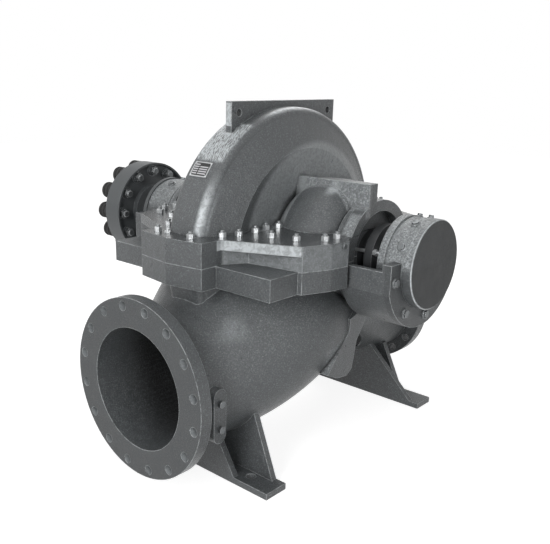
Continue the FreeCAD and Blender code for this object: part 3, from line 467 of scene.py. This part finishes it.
class CastPaint(Finish):
    """Grey paint over a sand casting. Each layer departs from it in some areas; several lay painted
    highlights, sheen or shade into the colour.
    """

    def __init__(self, name, settings):
        super().__init__(name)
        self.settings = settings
        self.base = settings.casing_colour
        self.broad = self.noise(4.0, 3.0)
        self.mottle = self.noise(26.0, 4.0, 0.6)
        self.speck = self.noise(260.0, 2.0, 0.6)
        sand = self.noise(520.0, 2.0, 0.7)
        self.colour = self.mix(self.broad, rgba(self.base, 0.88), rgba(self.base, 1.1))
        self.cover(self.step(self.speck, 0.5, 0.7) * (0.5 + self.mottle), rgba(self.base, 1.9))
        self.cover(self.step(sand, 0.5, 0.3) * 0.8, rgba(self.base, 0.35))
        self.rough = 0.22 + 0.18 * self.mottle
        self.relief = 1.0

    def cover(self, share, colour):
        """Lays a colour over what is there."""
        self.colour = self.mix(share, self.colour, colour)

    def rough_cast_painted_sparkle(self, boxes):
        """Coarse skin in raised relief, lightened with painted sparkle and sheen, with darker specks."""
        zone = self.zones(boxes)
        patches = self.noise(200.0, 4.0, 0.75, 0.2)
        # Painted sparkle and sheen: lightens the rough skin.
        self.cover(zone * (0.5 + 0.4 * self.mottle), rgba(self.settings.painted_sheen_colour))
        self.cover(zone * self.step(patches, 0.5, 0.62) * 0.8, rgba(self.settings.painted_sheen_colour, 1.9))
        self.cover(zone * self.step(patches, 0.44, 0.36) * 0.6, rgba(self.base, 0.6))
        self.relief = self.relief + zone * 1.5

    def ridges_painted_sheen(self, boxes):
        """Tool marks that run round the rim of the volute, raised in relief and lightened as painted sheen.
        """
        from_middle = self.radial(self.y, self.z, VOLUTE["y"], VOLUTE["z"])
        zone = self.zones(boxes) * self.step(from_middle, VOLUTE["rim"] + 0.004, VOLUTE["rim"] + 0.001)
        around = self.math("ARCTAN2", self.z - VOLUTE["z"], VOLUTE["y"] - self.y)
        rows = self.node("ShaderNodeCombineXYZ", None,
                         {"X": self.x * 330.0 + around * 20.0, "Y": around * 26.0})
        lines = self.noise(1.0, 3.0, 0.6, 0.6, rows)
        # Painted sheen along the marks.
        self.cover(zone * (0.15 + 0.85 * self.step(lines, 0.4, 0.55)),
                   rgba(self.settings.painted_sheen_colour, 2.2))
        self.relief = self.relief + zone * 2.0

    def bright(self, boxes):
        """Painted highlights, glints and sheen on faces, with streaks."""
        streaks = self.step(self.noise(75.0, 4.0, 0.65, 0.8), 0.36, 0.6)
        self.cover(self.zones(boxes) * (0.55 + 0.45 * streaks), rgba(self.settings.painted_sheen_colour, 2.0))

    def painted_shade_faces(self, boxes):
        """Faces darkened as painted shade, and without gloss."""
        zone = self.zones(boxes)
        self.cover(zone, rgba(self.base, 0.12))
        self.rough = self.rough + zone * 0.4

    def gloss(self, boxes):
        """Smooth machined faces."""
        zone = self.zones(boxes)
        self.cover(zone * 0.4, rgba(self.base, 0.3))
        self.rough = self.rough * (1.0 - zone * 0.6)
        self.relief = self.relief - zone * 0.75

    def pitted_dishes_painted_light(self, rings):
        """Pitted faces round the shaft, lightened as painted light, as inner radius, outer radius and where
        they start along it.
        """
        for inner, outer, start in rings:
            distance = self.radial(self.y, self.z, 0.0, SHAFT)
            beside = self.between(abs(self.x), start, 0.115, 0.004)
            dish = self.between(distance, inner, outer, 0.012) * beside
            pits = self.noise(150.0, 3.0, 0.65)
            # Painted light: lightens the dish faces.
            self.cover(dish * (0.6 + 0.4 * self.step(pits, 0.4, 0.6)), rgba(self.settings.painted_sheen_colour))
            self.relief = self.relief + dish * 0.8

    def painted_light_hole_walls(self, circles):
        """Hole walls lightened as painted light, in a circle of holes, as its middle, radius, half width
        and depths along Y.
        """
        for across, up, pitch, half, near, far in circles:
            distance = abs(self.radial(self.x, self.z, across, up) - pitch)
            wall = self.step(distance, half + 0.0006, half) * self.between(self.y, near, far, 0.0008)
            self.cover(wall * 0.6, rgba(self.settings.painted_sheen_colour, 1.6))

    def painted_bore_shade(self, nozzles):
        """Painted shade deep inside the nozzles, as middle, radius, and mouth, dark place and end along Y.
        """
        for across, up, radius, mouth, deep, far in nozzles:
            distance = self.radial(self.x, self.z, across, up)
            inside = self.step(distance, radius + 0.0015, radius - 0.0005)
            shade = inside * self.step(self.y, mouth, deep) * self.step(self.y, far + 0.002, far)
            self.cover(shade * (0.9 + 0.2 * self.step(self.speck, 0.6, 0.4)), rgba(BORE_SHADE_BLACK))
            self.rough = self.rough + shade * 0.7

    def finished(self):
        """Edges lightened for wear and as painted highlights, painted shade in crevices, and the grain over
        everything.
        """
        settings = self.settings
        rounded = self.soft_edges(settings.edge_round)
        edges = self.worn_and_highlit_edges(rounded)
        edge_patches = self.step(self.noise(55.0, 3.0, 0.7), 0.34, 0.56)
        # Lightens the edges: partly worn paint, partly painted highlights.
        self.cover(edges * (0.2 + 0.8 * edge_patches) * (0.5 + 0.8 * self.broad), rgba(settings.edge_wear_and_highlight_colour))
        # Painted shade: darkens corners and slots of the piece from ambient occlusion.
        self.cover(self.painted_crevice_shade(settings.crevice_shade_reach) * 0.85, rgba(CREVICE_SHADE_BLACK))
        swell = self.noise(38.0, 2.0, 0.45)
        grain = self.noise(settings.grain_scale, 3.0, 0.7)
        normal = self.bump(swell * self.relief, settings.swell_depth, 0.8, rounded)
        normal = self.bump(grain * self.relief, settings.grain_depth, 0.9, normal)
        return self.set(colour=self.colour, rough=self.rough, metal=0.0, specular=0.5, normal=normal)


def cast_paint(name, settings, layers):
    """The paint of a casting, from a table of its layers and their areas."""
    paint = CastPaint(name, settings)
    for layer, areas in layers.items():
        getattr(paint, layer)(areas)
    return paint.finished()


def smooth_paint(name, colour, rough, edge=0.0012, edge_wear_and_highlight_tone=(0.3, 0.31, 0.32)):
    """Paint over a machined surface, with faint tone changes and edges lightened for wear and as painted
    highlights.
    """
    paint = Finish(name)
    mottle = paint.noise(18.0, 4.0, 0.6)
    grain = paint.noise(420.0, 2.0, 0.5)
    shade = paint.mix(mottle, rgba(colour, 0.85), rgba(colour, 1.18))
    rounded = paint.soft_edges(edge)
    # Lightens the edges: partly worn paint, partly painted highlights.
    shade = paint.mix(paint.worn_and_highlit_edges(rounded) * (0.4 + 0.5 * mottle), shade, rgba(edge_wear_and_highlight_tone))
    normal = paint.bump(grain, 0.00012, 0.5, rounded)
    return paint.set(colour=shade, rough=rough + 0.12 * mottle, metal=0.0, normal=normal)


def turned_steel(name, colour):
    """Lathe turned steel with fine rings and a thin film of oil and dust."""
    steel = Finish(name)
    rings = steel.noise(1.0, 3.0, 0.6, 0.0, steel.stretched((900.0, 12.0, 12.0)))
    film = steel.noise(30.0, 4.0, 0.6)
    shade = steel.mix(film, rgba(colour, 0.7), rgba(colour, 1.1))
    normal = steel.bump(rings, 0.00005, 0.5, steel.soft_edges(0.0008))
    return steel.set(colour=shade, rough=0.26 + 0.2 * film + 0.08 * rings, metal=0.9, normal=normal)


def plated_steel(name, colour, rough=0.3):
    """Zinc plated fastener steel, cloudy and slightly scratched, with edges lightened for wear and as
    painted highlights.
    """
    steel = Finish(name)
    cloud = steel.noise(140.0, 4.0, 0.65)
    grime = steel.step(steel.noise(55.0, 3.0, 0.6), 0.52, 0.75)
    scratch = steel.noise(1.0, 2.0, 0.6, 0.0, steel.stretched((90.0, 1400.0, 400.0)))
    shade = steel.mix(cloud, rgba(colour, 0.72), rgba(colour, 1.12))
    shade = steel.mix(grime * 0.7, shade, rgba(colour, 0.22))
    rounded = steel.soft_edges(0.0008)
    # Lightens the edges: partly worn plating, partly painted highlights.
    shade = steel.mix(steel.worn_and_highlit_edges(rounded) * 0.7, shade, rgba(PLATED_EDGE_WEAR_AND_HIGHLIGHT))
    normal = steel.bump(scratch + cloud, 0.00008, 0.5, rounded)
    return steel.set(colour=shade, rough=rough + 0.25 * grime + 0.1 * cloud, metal=0.75, normal=normal)


def rubber(name, colour):
    """Moulded rubber with a dusty bloom."""
    skin = Finish(name)
    bloom = skin.noise(60.0, 4.0, 0.6)
    pores = skin.noise(700.0, 2.0, 0.5)
    shade = skin.mix(bloom, rgba(colour, 0.8), rgba(colour, 1.7))
    return skin.set(colour=shade, rough=0.62 + 0.2 * bloom, metal=0.0,
                    normal=skin.bump(pores, 0.0001, 0.5, skin.soft_edges(0.001)))


def plate_metal(name, colour):
    """Brushed aluminium sheet with tarnish."""
    sheet = Finish(name)
    brush = sheet.noise(1.0, 3.0, 0.6, 0.0, sheet.stretched((30.0, 900.0, 900.0)))
    tarnish = sheet.noise(45.0, 4.0, 0.6)
    shade = sheet.mix(tarnish, rgba(colour, 0.6), rgba(colour, 1.1))
    return sheet.set(colour=shade, rough=0.32 + 0.15 * brush, metal=0.8,
                     normal=sheet.bump(brush, 0.00004, 0.6))


# Settings that a user would change

class PumpFinishSettings(bpy.types.PropertyGroup):
    """Colours and grain of the finishes"""

    casing_colour: FloatVectorProperty(name="Casing paint", description="Grey paint of the castings",
                                       subtype="COLOR", default=(0.088, 0.095, 0.099), min=0, max=1)
    # Light tone used for painted sheen, sparkle and highlights on rough zones, rim, dishes and hole walls.
    painted_sheen_colour: FloatVectorProperty(name="Rough cast paint",
                                      description="Paint on the ridges of rough zones", subtype="COLOR",
                                      default=(0.34, 0.36, 0.37), min=0, max=1)
    # Colour of the lightened edges: paint rubbed thin and painted highlights.
    edge_wear_and_highlight_colour: FloatVectorProperty(name="Worn edges", description="Paint rubbed thin along edges",
                                     subtype="COLOR", default=(0.60, 0.63, 0.64), min=0, max=1)
    coupling_colour: FloatVectorProperty(name="Coupling paint", description="Paint of the coupling half",
                                         subtype="COLOR", default=(0.085, 0.092, 0.096), min=0, max=1)
    gland_colour: FloatVectorProperty(name="Gland iron", description="Dark iron of the glands",
                                      subtype="COLOR", default=(0.03, 0.032, 0.034), min=0, max=1)
    steel_colour: FloatVectorProperty(name="Turned steel", description="Shaft and sleeves",
                                      subtype="COLOR", default=(0.36, 0.37, 0.38), min=0, max=1)
    plated_colour: FloatVectorProperty(name="Plated steel", description="Nuts and studs",
                                       subtype="COLOR", default=(0.62, 0.64, 0.65), min=0, max=1)
    bolt_colour: FloatVectorProperty(name="Painted bolts",
                                     description="Paint of bolts, plugs and coupling nuts", subtype="COLOR",
                                     default=(0.17, 0.18, 0.185), min=0, max=1)
    rubber_colour: FloatVectorProperty(name="Rubber", description="Coupling bushes",
                                       subtype="COLOR", default=(0.016, 0.017, 0.018), min=0, max=1)
    plate_colour: FloatVectorProperty(name="Nameplate", description="Sheet metal of the nameplate",
                                      subtype="COLOR", default=(0.6, 0.61, 0.62), min=0, max=1)
    grain_scale: FloatProperty(name="Grain", default=330.0,
                               description="Grains of cast texture in a metre, the higher the finer",
                               min=20, max=2000)
    grain_depth: FloatProperty(name="Grain depth", description="Height of the cast grain", default=0.0024,
                               min=0, max=0.01, unit="LENGTH", precision=5)
    swell_depth: FloatProperty(name="Swell depth", description="Height of the broad unevenness",
                               default=0.003, min=0, max=0.01, unit="LENGTH", precision=5)
    edge_round: FloatProperty(name="Edge rounding", description="Radius of the casting's edges",
                              default=0.0032, min=0, max=0.02, unit="LENGTH", precision=5)
    # Reach of the painted shade in corners and slots.
    crevice_shade_reach: FloatProperty(name="Crevices", description="Reach of the dark in corners and slots",
                           default=0.022, min=0.001, max=0.1, unit="LENGTH", precision=4)


class PumpFastenerSettings(bpy.types.PropertyGroup):
    """Sizes of nuts, studs and plugs"""

    pitch: FloatProperty(name="Thread pitch", description="Pitch of the parting studs", default=0.00175,
                         min=0.0005, max=0.005, unit="LENGTH", precision=5)
    chamfer: FloatProperty(name="Nut chamfer", description="Height of the chamfer on nuts and bolt heads",
                           default=0.0014, min=0, max=0.01, unit="LENGTH", precision=5)
    washer: FloatProperty(name="Washer", description="Radius of the washers under the coupling nuts",
                          default=0.0212, min=0.01, max=0.04, unit="LENGTH", precision=5)
    thickness: FloatProperty(name="Washer thickness", description="Thickness of those washers",
                             default=0.003, min=0.001, max=0.01, unit="LENGTH", precision=5)
    rivet: FloatProperty(name="Rivet", description="Radius of the nameplate rivets", default=0.0026,
                         min=0.001, max=0.01, unit="LENGTH", precision=5)
    sides: IntProperty(name="Sides", description="Sides of round fasteners", default=24, min=8, max=64)


class PumpStageSettings(bpy.types.PropertyGroup):
    """Camera and light"""

    azimuth: FloatProperty(name="Azimuth", description="Camera round the pump from the suction side",
                           default=math.radians(42.381), subtype="ANGLE")
    elevation: FloatProperty(name="Elevation", description="Camera above the horizon",
                             default=math.radians(17.073), subtype="ANGLE")
    roll: FloatProperty(name="Roll", description="Camera turned about its own axis",
                        default=math.radians(1.017), subtype="ANGLE")
    place: FloatVectorProperty(name="Camera place", description="Where the camera stands",
                               subtype="TRANSLATION", default=(1.3778, -1.6896, 1.0590))
    lens: FloatProperty(name="Lens", description="Focal length in millimetres on a 36 mm sensor",
                        default=47.592, min=10, max=300)
    shift: FloatVectorProperty(name="Shift", description="Lens shift, as shares of the picture's width",
                               size=2, default=(0.0520, 0.0489), precision=4)
    key: FloatProperty(name="Key light", description="Power of the tall lamp on the suction side",
                       default=46.0, min=0, unit="POWER")
    left: FloatProperty(name="Left light", default=8.0,
                        description="Power of the lamp at the coupling side of the camera",
                        min=0, unit="POWER")
    flash: FloatProperty(name="Flash", description="Power of the small lamp at the camera",
                         default=13.0, min=0, unit="POWER")
    top: FloatProperty(name="Top light", description="Power of the lamp above the suction nozzle",
                       default=16.0, min=0, unit="POWER")
    back: FloatProperty(name="Back light", description="Power of the lamp above and behind",
                        default=30.0, min=0, unit="POWER")
    side: FloatProperty(name="Side light", description="Power of the lamp beyond the free end",
                        default=5.0, min=0, unit="POWER")
    ambient: FloatProperty(name="Ambient", description="Strength of the light from all round",
                           default=0.1, min=0, max=2)
    floor: FloatProperty(name="Floor", description="Half length of the floor", default=9.0, min=2,
                         unit="LENGTH")


# Operators

class PUMP_OT_finishes(bpy.types.Operator):
    """Give every casting, cover and shaft its finish"""
    bl_idname = "pump.finishes"
    bl_label = "Finishes"

    def execute(self, context):
        settings = context.scene.pump_finish
        lower = cast_paint("lower_casting_paint", settings, LOWER_PAINT)
        upper = cast_paint("upper_casting_paint", settings, UPPER_PAINT)
        barrel = cast_paint("bearing_barrel_paint", settings, BARREL_PAINT)
        cover = smooth_paint("cover_paint", settings.casing_colour, 0.46)
        coupling = smooth_paint("coupling_paint", settings.coupling_colour, 0.4)
        gland = smooth_paint("gland_paint", settings.gland_colour, 0.35)
        steel = turned_steel("turned_steel", settings.steel_colour)
        plated = plated_steel("plated_steel", settings.plated_colour)
        painted = plated_steel("painted_bolt_steel", settings.bolt_colour, 0.38)
        black = rubber("bush_rubber", settings.rubber_colour)
        plate = plate_metal("plate_metal", settings.plate_colour)
        given = {
            "lower_casing": lower, "upper_casing": upper, "nameplate": plate,
            "bearing_housing_free_end": barrel, "bearing_housing_drive_end": barrel,
            "inner_cover_free_end": barrel, "inner_cover_drive_end": barrel,
            "end_cap_free_end": barrel, "bearing_cover_drive_end": cover,
            "gland_free_end": gland, "gland_drive_end": gland, "coupling_half": coupling,
            "shaft": steel, "shaft_sleeve_free_end": steel, "shaft_sleeve_drive_end": steel,
            "coupling_bushes": black, "parting_studs": plated, "parting_nuts": plated,
            "gland_studs_free_end": plated, "gland_studs_drive_end": plated,
            "jacking_screws": plated, "coupling_pins": painted, "coupling_nuts": painted,
        }
        for name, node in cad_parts.items():
            node.data.materials.clear()
            node.data.materials.append(given.get(name, painted))
        return {"FINISHED"}


class PUMP_OT_parting_fasteners(bpy.types.Operator):
    """Chamfered nuts on threaded studs along the split flange"""
    bl_idname = "pump.parting_fasteners"
    bl_label = "Parting fasteners"

    def execute(self, context):
        sizes = context.scene.pump_fastener
        plated = bpy.data.materials["plated_steel"]
        dark = bpy.data.materials["painted_bolt_steel"]
        nuts = islands("parting_nuts")
        studs = islands("parting_studs")
        low, high = nuts[0]
        corner = max(high.x - low.x, high.y - low.y) / 2
        nut = hexagon(corner, high.z - low.z, sizes.chamfer)
        places = [along((0, 0, 1), ((a.x + b.x) / 2, (a.y + b.y) / 2, a.z), 0.35 * ((7 * number) % 5))
                  for number, (a, b) in enumerate(nuts)]
        finish_piece(copies(nut, places), "parting_nut_set", "casing", plated,
                     ["parting_nuts"])
        low, high = studs[0]
        radius = (high.x - low.x) / 2
        stud = lathe(thread(radius, high.z - low.z, sizes.pitch), sizes.sides)
        places = [along((0, 0, 1), ((a.x + b.x) / 2, (a.y + b.y) / 2, a.z)) for a, b in studs]
        finish_piece(copies(stud, places), "parting_stud_set", "casing", dark,
                     ["parting_studs"])
        return {"FINISHED"}


class PUMP_OT_coupling_fasteners(bpy.types.Operator):
    """Nuts with washers, threaded pins and ribbed rubber bushes on the coupling half"""
    bl_idname = "pump.coupling_fasteners"
    bl_label = "Coupling fasteners"

    def execute(self, context):
        sizes = context.scene.pump_fastener
        painted = bpy.data.materials["painted_bolt_steel"]
        black = bpy.data.materials["bush_rubber"]
        nuts = islands("coupling_nuts")
        low, high = nuts[0]
        tall = high.x - low.x
        corner = max(high.y - low.y, high.z - low.z) / 2
        nut = hexagon(corner, tall - sizes.thickness, sizes.chamfer * 1.4)
        nut.location.z = sizes.thickness
        washer = lathe([(0, sizes.washer - 0.0006), (0.0006, sizes.washer),
                        (sizes.thickness - 0.0006, sizes.washer),
                        (sizes.thickness, sizes.washer - 0.0006)], 36)
        select_only(nut)
        bpy.ops.object.transform_apply(location=True, rotation=True, scale=True)
        pattern = join([nut, washer])
        middles = [((a.y + b.y) / 2, (a.z + b.z) / 2) for a, b in nuts]
        places = [along((1, 0, 0), (low.x, y, z), 0.3 * number) for number, (y, z) in enumerate(middles)]
        finish_piece(copies(pattern, places), "coupling_nut_set", "rotor", painted,
                     ["coupling_nuts"])
        low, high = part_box("coupling_pins")
        near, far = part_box("coupling_nuts")[1].x, low.x
        radius = PIN["radius"]
        tip = lathe(thread(radius, high.x - near, PIN["pitch"]), sizes.sides)
        bush_low, bush_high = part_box("coupling_bushes")
        reach = bush_low.x - far
        rear = lathe([(0, radius), (reach - PIN["chamfer"], radius), (reach, radius - PIN["chamfer"])],
                     sizes.sides)
        shank = lathe([(0, radius), (near - bush_low.x, radius)], sizes.sides)
        shank.location.z = bush_low.x - near
        rear.rotation_euler.y = math.pi
        rear.location.z = bush_low.x - near
        for part in (rear, shank):
            select_only(part)
            bpy.ops.object.transform_apply(location=True, rotation=True, scale=True)
        pattern = join([tip, rear, shank])
        places = [along((1, 0, 0), (near, y, z)) for y, z in middles]
        finish_piece(copies(pattern, places), "coupling_pin_set", "rotor", painted,
                     ["coupling_pins"])
        bush = lathe(self.bush_profile(bush_high.x - bush_low.x), 32)
        places = [along((-1, 0, 0), (bush_high.x, y, z)) for y, z in middles]
        finish_piece(copies(bush, places), "coupling_bush_set", "rotor", black,
                     ["coupling_bushes"], 40)
        return {"FINISHED"}

    def bush_profile(self, length):
        """Rubber rings with rounded edges and grooves between them."""
        outer, ring, groove = BUSH["radius"], BUSH["ring"], BUSH["groove"]
        profile = [(0, outer - 0.003)]
        for number in range(BUSH["rings"]):
            start = number * (ring + groove)
            end = start + ring
            profile += [(start + 0.0012, outer - 0.0006), (start + 0.003, outer),
                        (end - 0.003, outer), (end - 0.0012, outer - 0.0006), (end, outer - 0.003)]
            if number < BUSH["rings"] - 1:
                profile += [(end + 0.0006, outer - groove), (end + groove - 0.0006, outer - groove),
                            (end + groove, outer - 0.003)]
        profile[-1] = (length, outer - 0.004)
        return profile


class PUMP_OT_housing_fittings(bpy.types.Operator):
    """Hex plugs and bolt heads on the bearing housings"""
    bl_idname = "pump.housing_fittings"
    bl_label = "Housing fittings"

    def execute(self, context):
        sizes = context.scene.pump_fastener
        painted = bpy.data.materials["painted_bolt_steel"]
        for side, outward in (("free_end", 1), ("drive_end", -1)):
            made = []
            for low, high in islands("housing_plugs_" + side):
                middle = (low + high) / 2
                away = Vector((0, middle.y, middle.z - SHAFT))
                foot = Vector((middle.x, 0, SHAFT)) + away.normalized() * HOUSING["seat"]
                corner = (high.x - low.x) / 2
                tall = HOUSING["plug_top"] - HOUSING["seat"] - 0.0005
                collar = lathe([(0, corner * 1.35), (0.0022, corner * 1.35), (0.003, corner * 1.2)], 28)
                head = hexagon(corner, tall, sizes.chamfer * 0.8)
                made.append(copies(join([head, collar]), [along(away, foot, away.length)]))
            finish_piece(join(made), "housing_plug_set_" + side, "casing", painted,
                         ["housing_plugs_" + side])
            boxes = islands("cradle_bolts_" + side)
            low, high = boxes[0]
            corner = max(high.z - low.z, high.y - low.y) / 2
            head = hexagon(corner, high.x - low.x, sizes.chamfer)
            washer = lathe([(0, corner * 1.22), (0.0022, corner * 1.22), (0.0026, corner * 1.16)], 32)
            pattern = join([head, washer])
            foot = low.x if outward > 0 else high.x
            places = [along((outward, 0, 0), (foot, (a.y + b.y) / 2, (a.z + b.z) / 2), number * 0.4)
                      for number, (a, b) in enumerate(boxes)]
            finish_piece(copies(pattern, places), "cradle_bolt_set_" + side, "casing",
                         painted, ["cradle_bolts_" + side])
        return {"FINISHED"}


class PUMP_OT_nameplate_trim(bpy.types.Operator):
    """An enamel field, blank strips and rivets on the nameplate"""
    bl_idname = "pump.nameplate_trim"
    bl_label = "Nameplate trim"

    def execute(self, context):
        sizes = context.scene.pump_fastener
        low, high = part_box("nameplate")
        radius = max(math.hypot(v.co.y - VOLUTE["y"], v.co.z - VOLUTE["z"])
                     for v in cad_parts["nameplate"].data.vertices)
        first = math.atan2(low.z - VOLUTE["z"], VOLUTE["y"] - low.y)
        last = math.atan2(high.z - VOLUTE["z"], VOLUTE["y"] - high.y)
        enamel = smooth_paint("plate_enamel", ENAMEL_BLACK, 0.3, 0.0003, ENAMEL_EDGE_WEAR_AND_HIGHLIGHT)
        edge = PLATE_MARGIN / radius
        inner = last - first - 2 * edge
        field = self.strip(radius, (low.x + PLATE_MARGIN, high.x - PLATE_MARGIN),
                           (first + edge, last - edge), 0.0004)
        finish_piece(field, "plate_enamel_field", "casing", enamel)
        fields = []
        wide = high.x - low.x
        for row in range(PLATE_ROWS):
            bottom = first + edge + (0.1 + row * 0.175) * inner
            top = bottom + 0.09 * inner
            columns = ((0.09, 0.36), (0.42, 0.9)) if row < PLATE_ROWS - 1 else ((0.09, 0.36),)
            for start, stop in columns:
                fields.append(self.strip(radius, (low.x + wide * start, low.x + wide * stop),
                                         (bottom, top), 0.0007))
        finish_piece(join(fields), "plate_blank_fields", "casing",
                     bpy.data.materials["plate_metal"])
        rivets = []
        for x in (low.x + PLATE_MARGIN, high.x - PLATE_MARGIN):
            for angle in (first + edge, last - edge):
                away = Vector((0, -math.cos(angle), math.sin(angle)))
                foot = Vector((x, VOLUTE["y"], VOLUTE["z"])) + away * radius
                rivets.append(along(away, foot))
        head = lathe([(0, sizes.rivet), (0.0004, sizes.rivet), (0.0009, sizes.rivet * 0.82),
                      (0.0012, sizes.rivet * 0.4)], 16)
        finish_piece(copies(head, rivets), "plate_rivets", "casing",
                     bpy.data.materials["plated_steel"])
        return {"FINISHED"}

    def strip(self, radius, ends, angles, lift):
        """A curved strip on the plate, between two places along the shaft and two angles."""
        deselect()
        bpy.ops.mesh.primitive_grid_add(x_subdivisions=2, y_subdivisions=8, size=1)
        strip = bpy.context.object
        away = radius + 0.00005
        for vertex in strip.data.vertices:
            x = ends[0] + (ends[1] - ends[0]) * (vertex.co.x + 0.5)
            angle = angles[0] + (angles[1] - angles[0]) * (vertex.co.y + 0.5)
            vertex.co = (x, VOLUTE["y"] - away * math.cos(angle), VOLUTE["z"] + away * math.sin(angle))
        select_only(strip)
        bpy.ops.object.mode_set(mode="EDIT")
        bpy.ops.mesh.select_all(action="SELECT")
        bpy.ops.mesh.normals_make_consistent(inside=False)
        bpy.ops.object.mode_set(mode="OBJECT")
        wall = strip.modifiers.new("thickness", "SOLIDIFY")
        wall.thickness = lift
        face = strip.data.polygons[0]
        outward = Vector((0, face.center.y - VOLUTE["y"], face.center.z - VOLUTE["z"]))
        wall.offset = 1.0 if face.normal.dot(outward) >= 0 else -1.0
        bpy.ops.object.modifier_apply(modifier=wall.name)
        return strip


class PUMP_OT_stage(bpy.types.Operator):
    """Floor, lamps, world and the camera"""
    bl_idname = "pump.stage"
    bl_label = "Stage"

    def execute(self, context):
        sizes = context.scene.pump_stage
        self.floor(sizes)
        self.world(context.scene, sizes)
        for name, direction, distance, size in LAMPS:
            self.lamp(name, Vector(direction).normalized(), distance, getattr(sizes, name), size)
        self.camera(context.scene, sizes)
        return {"FINISHED"}

    def floor(self, sizes):
        deselect()
        bpy.ops.mesh.primitive_grid_add(x_subdivisions=4, y_subdivisions=4, size=sizes.floor * 2,
                                        location=(0, 0, -0.0005))
        floor = bpy.context.object
        bpy.ops.object.transform_apply(location=True, rotation=True, scale=True)
        floor.name = "studio_floor"
        card = Finish("floor_card")
        away = card.radial(card.x, card.y, 0.0, 0.0)
        glow = FLOOR["glow"] + FLOOR["far_glow"] * card.step(away, FLOOR["near"], FLOOR["far"])
        light = card.node("ShaderNodeEmission", None, {"Color": WHITE, "Strength": glow})
        shade = card.node("ShaderNodeBsdfDiffuse", None, {"Color": FLOOR["shown"]})
        both = card.node("ShaderNodeAddShader", None, {0: light, 1: shade})
        plain = card.node("ShaderNodeBsdfDiffuse", None, {"Color": FLOOR["bounce"]})
        mixed = card.node("ShaderNodeMixShader", None, {0: card.seen_directly(), 1: plain, 2: both})
        card.tree.nodes.remove(card.shader)
        card.feed(card.output.inputs["Surface"], mixed)
        floor.data.materials.append(card.material)
        deselect()

    def world(self, scene, sizes):
        scene.world = bpy.data.worlds.new("studio")
        studio = Shading(scene.world)
        seen = studio.seen_directly()
        ambient, white = (studio.node("ShaderNodeBackground", None, {"Color": WHITE, "Strength": strength})
                          for strength in (sizes.ambient, 1.0))
        mixed = studio.node("ShaderNodeMixShader", None, {0: seen, 1: ambient, 2: white})
        studio.show("ShaderNodeOutputWorld", mixed)

    def lamp(self, name, direction, distance, power, size):
        data = bpy.data.lights.new(name + "_lamp", "AREA")
        data.energy = power
        data.shape = "RECTANGLE"
        data.size, data.size_y = size
        lamp = bpy.data.objects.new(name + "_lamp", data)
        bpy.context.scene.collection.objects.link(lamp)
        lamp.matrix_world = along(direction, Vector(LIT_POINT) + direction * distance)

    def camera(self, scene, sizes):
        data = bpy.data.cameras.new("camera")
        data.sensor_width = 36.0
        data.sensor_fit = "HORIZONTAL"
        data.lens = sizes.lens
        data.shift_x, data.shift_y = sizes.shift
        data.clip_start = 0.01
        camera = bpy.data.objects.new("camera", data)
        scene.collection.objects.link(camera)
        turn = (Matrix.Rotation(sizes.azimuth, 4, "Z")
                @ Matrix.Rotation(math.pi / 2 - sizes.elevation, 4, "X")
                @ Matrix.Rotation(sizes.roll, 4, "Z"))
        camera.matrix_world = Matrix.Translation(sizes.place) @ turn
        scene.camera = camera


class PUMP_PT_panel(bpy.types.Panel):
    """Buttons for the steps, and their settings"""
    bl_idname = "PUMP_PT_panel"
    bl_label = "Pump"
    bl_space_type = "VIEW_3D"
    bl_region_type = "UI"
    bl_category = "Pump"

    def draw(self, context):
        layout = self.layout
        for step in STEPS:
            layout.operator(step.bl_idname)
        for group in (context.scene.pump_finish, context.scene.pump_fastener, context.scene.pump_stage):
            column = layout.column(align=True)
            for key in group.__annotations__:
                column.prop(group, key)


STEPS = (PUMP_OT_finishes, PUMP_OT_parting_fasteners, PUMP_OT_coupling_fasteners,
         PUMP_OT_housing_fittings, PUMP_OT_nameplate_trim, PUMP_OT_stage)
GROUPS = {"pump_finish": PumpFinishSettings, "pump_fastener": PumpFastenerSettings,
          "pump_stage": PumpStageSettings}


def register():
    for group in GROUPS.values():
        bpy.utils.register_class(group)
    for step in STEPS + (PUMP_PT_panel,):
        bpy.utils.register_class(step)
    for name, group in GROUPS.items():
        setattr(bpy.types.Scene, name, PointerProperty(type=group))


def unregister():
    for name in GROUPS:
        delattr(bpy.types.Scene, name)
    for step in (PUMP_PT_panel,) + STEPS:
        bpy.utils.unregister_class(step)
    for group in GROUPS.values():
        bpy.utils.unregister_class(group)


def main():
    register()
    scene = bpy.context.scene
    scene.view_settings.view_transform = "Standard"
    bpy.ops.pump.finishes()
    bpy.ops.pump.parting_fasteners()
    bpy.ops.pump.coupling_fasteners()
    bpy.ops.pump.housing_fittings()
    bpy.ops.pump.nameplate_trim()
    bpy.ops.pump.stage()


if __name__ == "__main__":
    main()
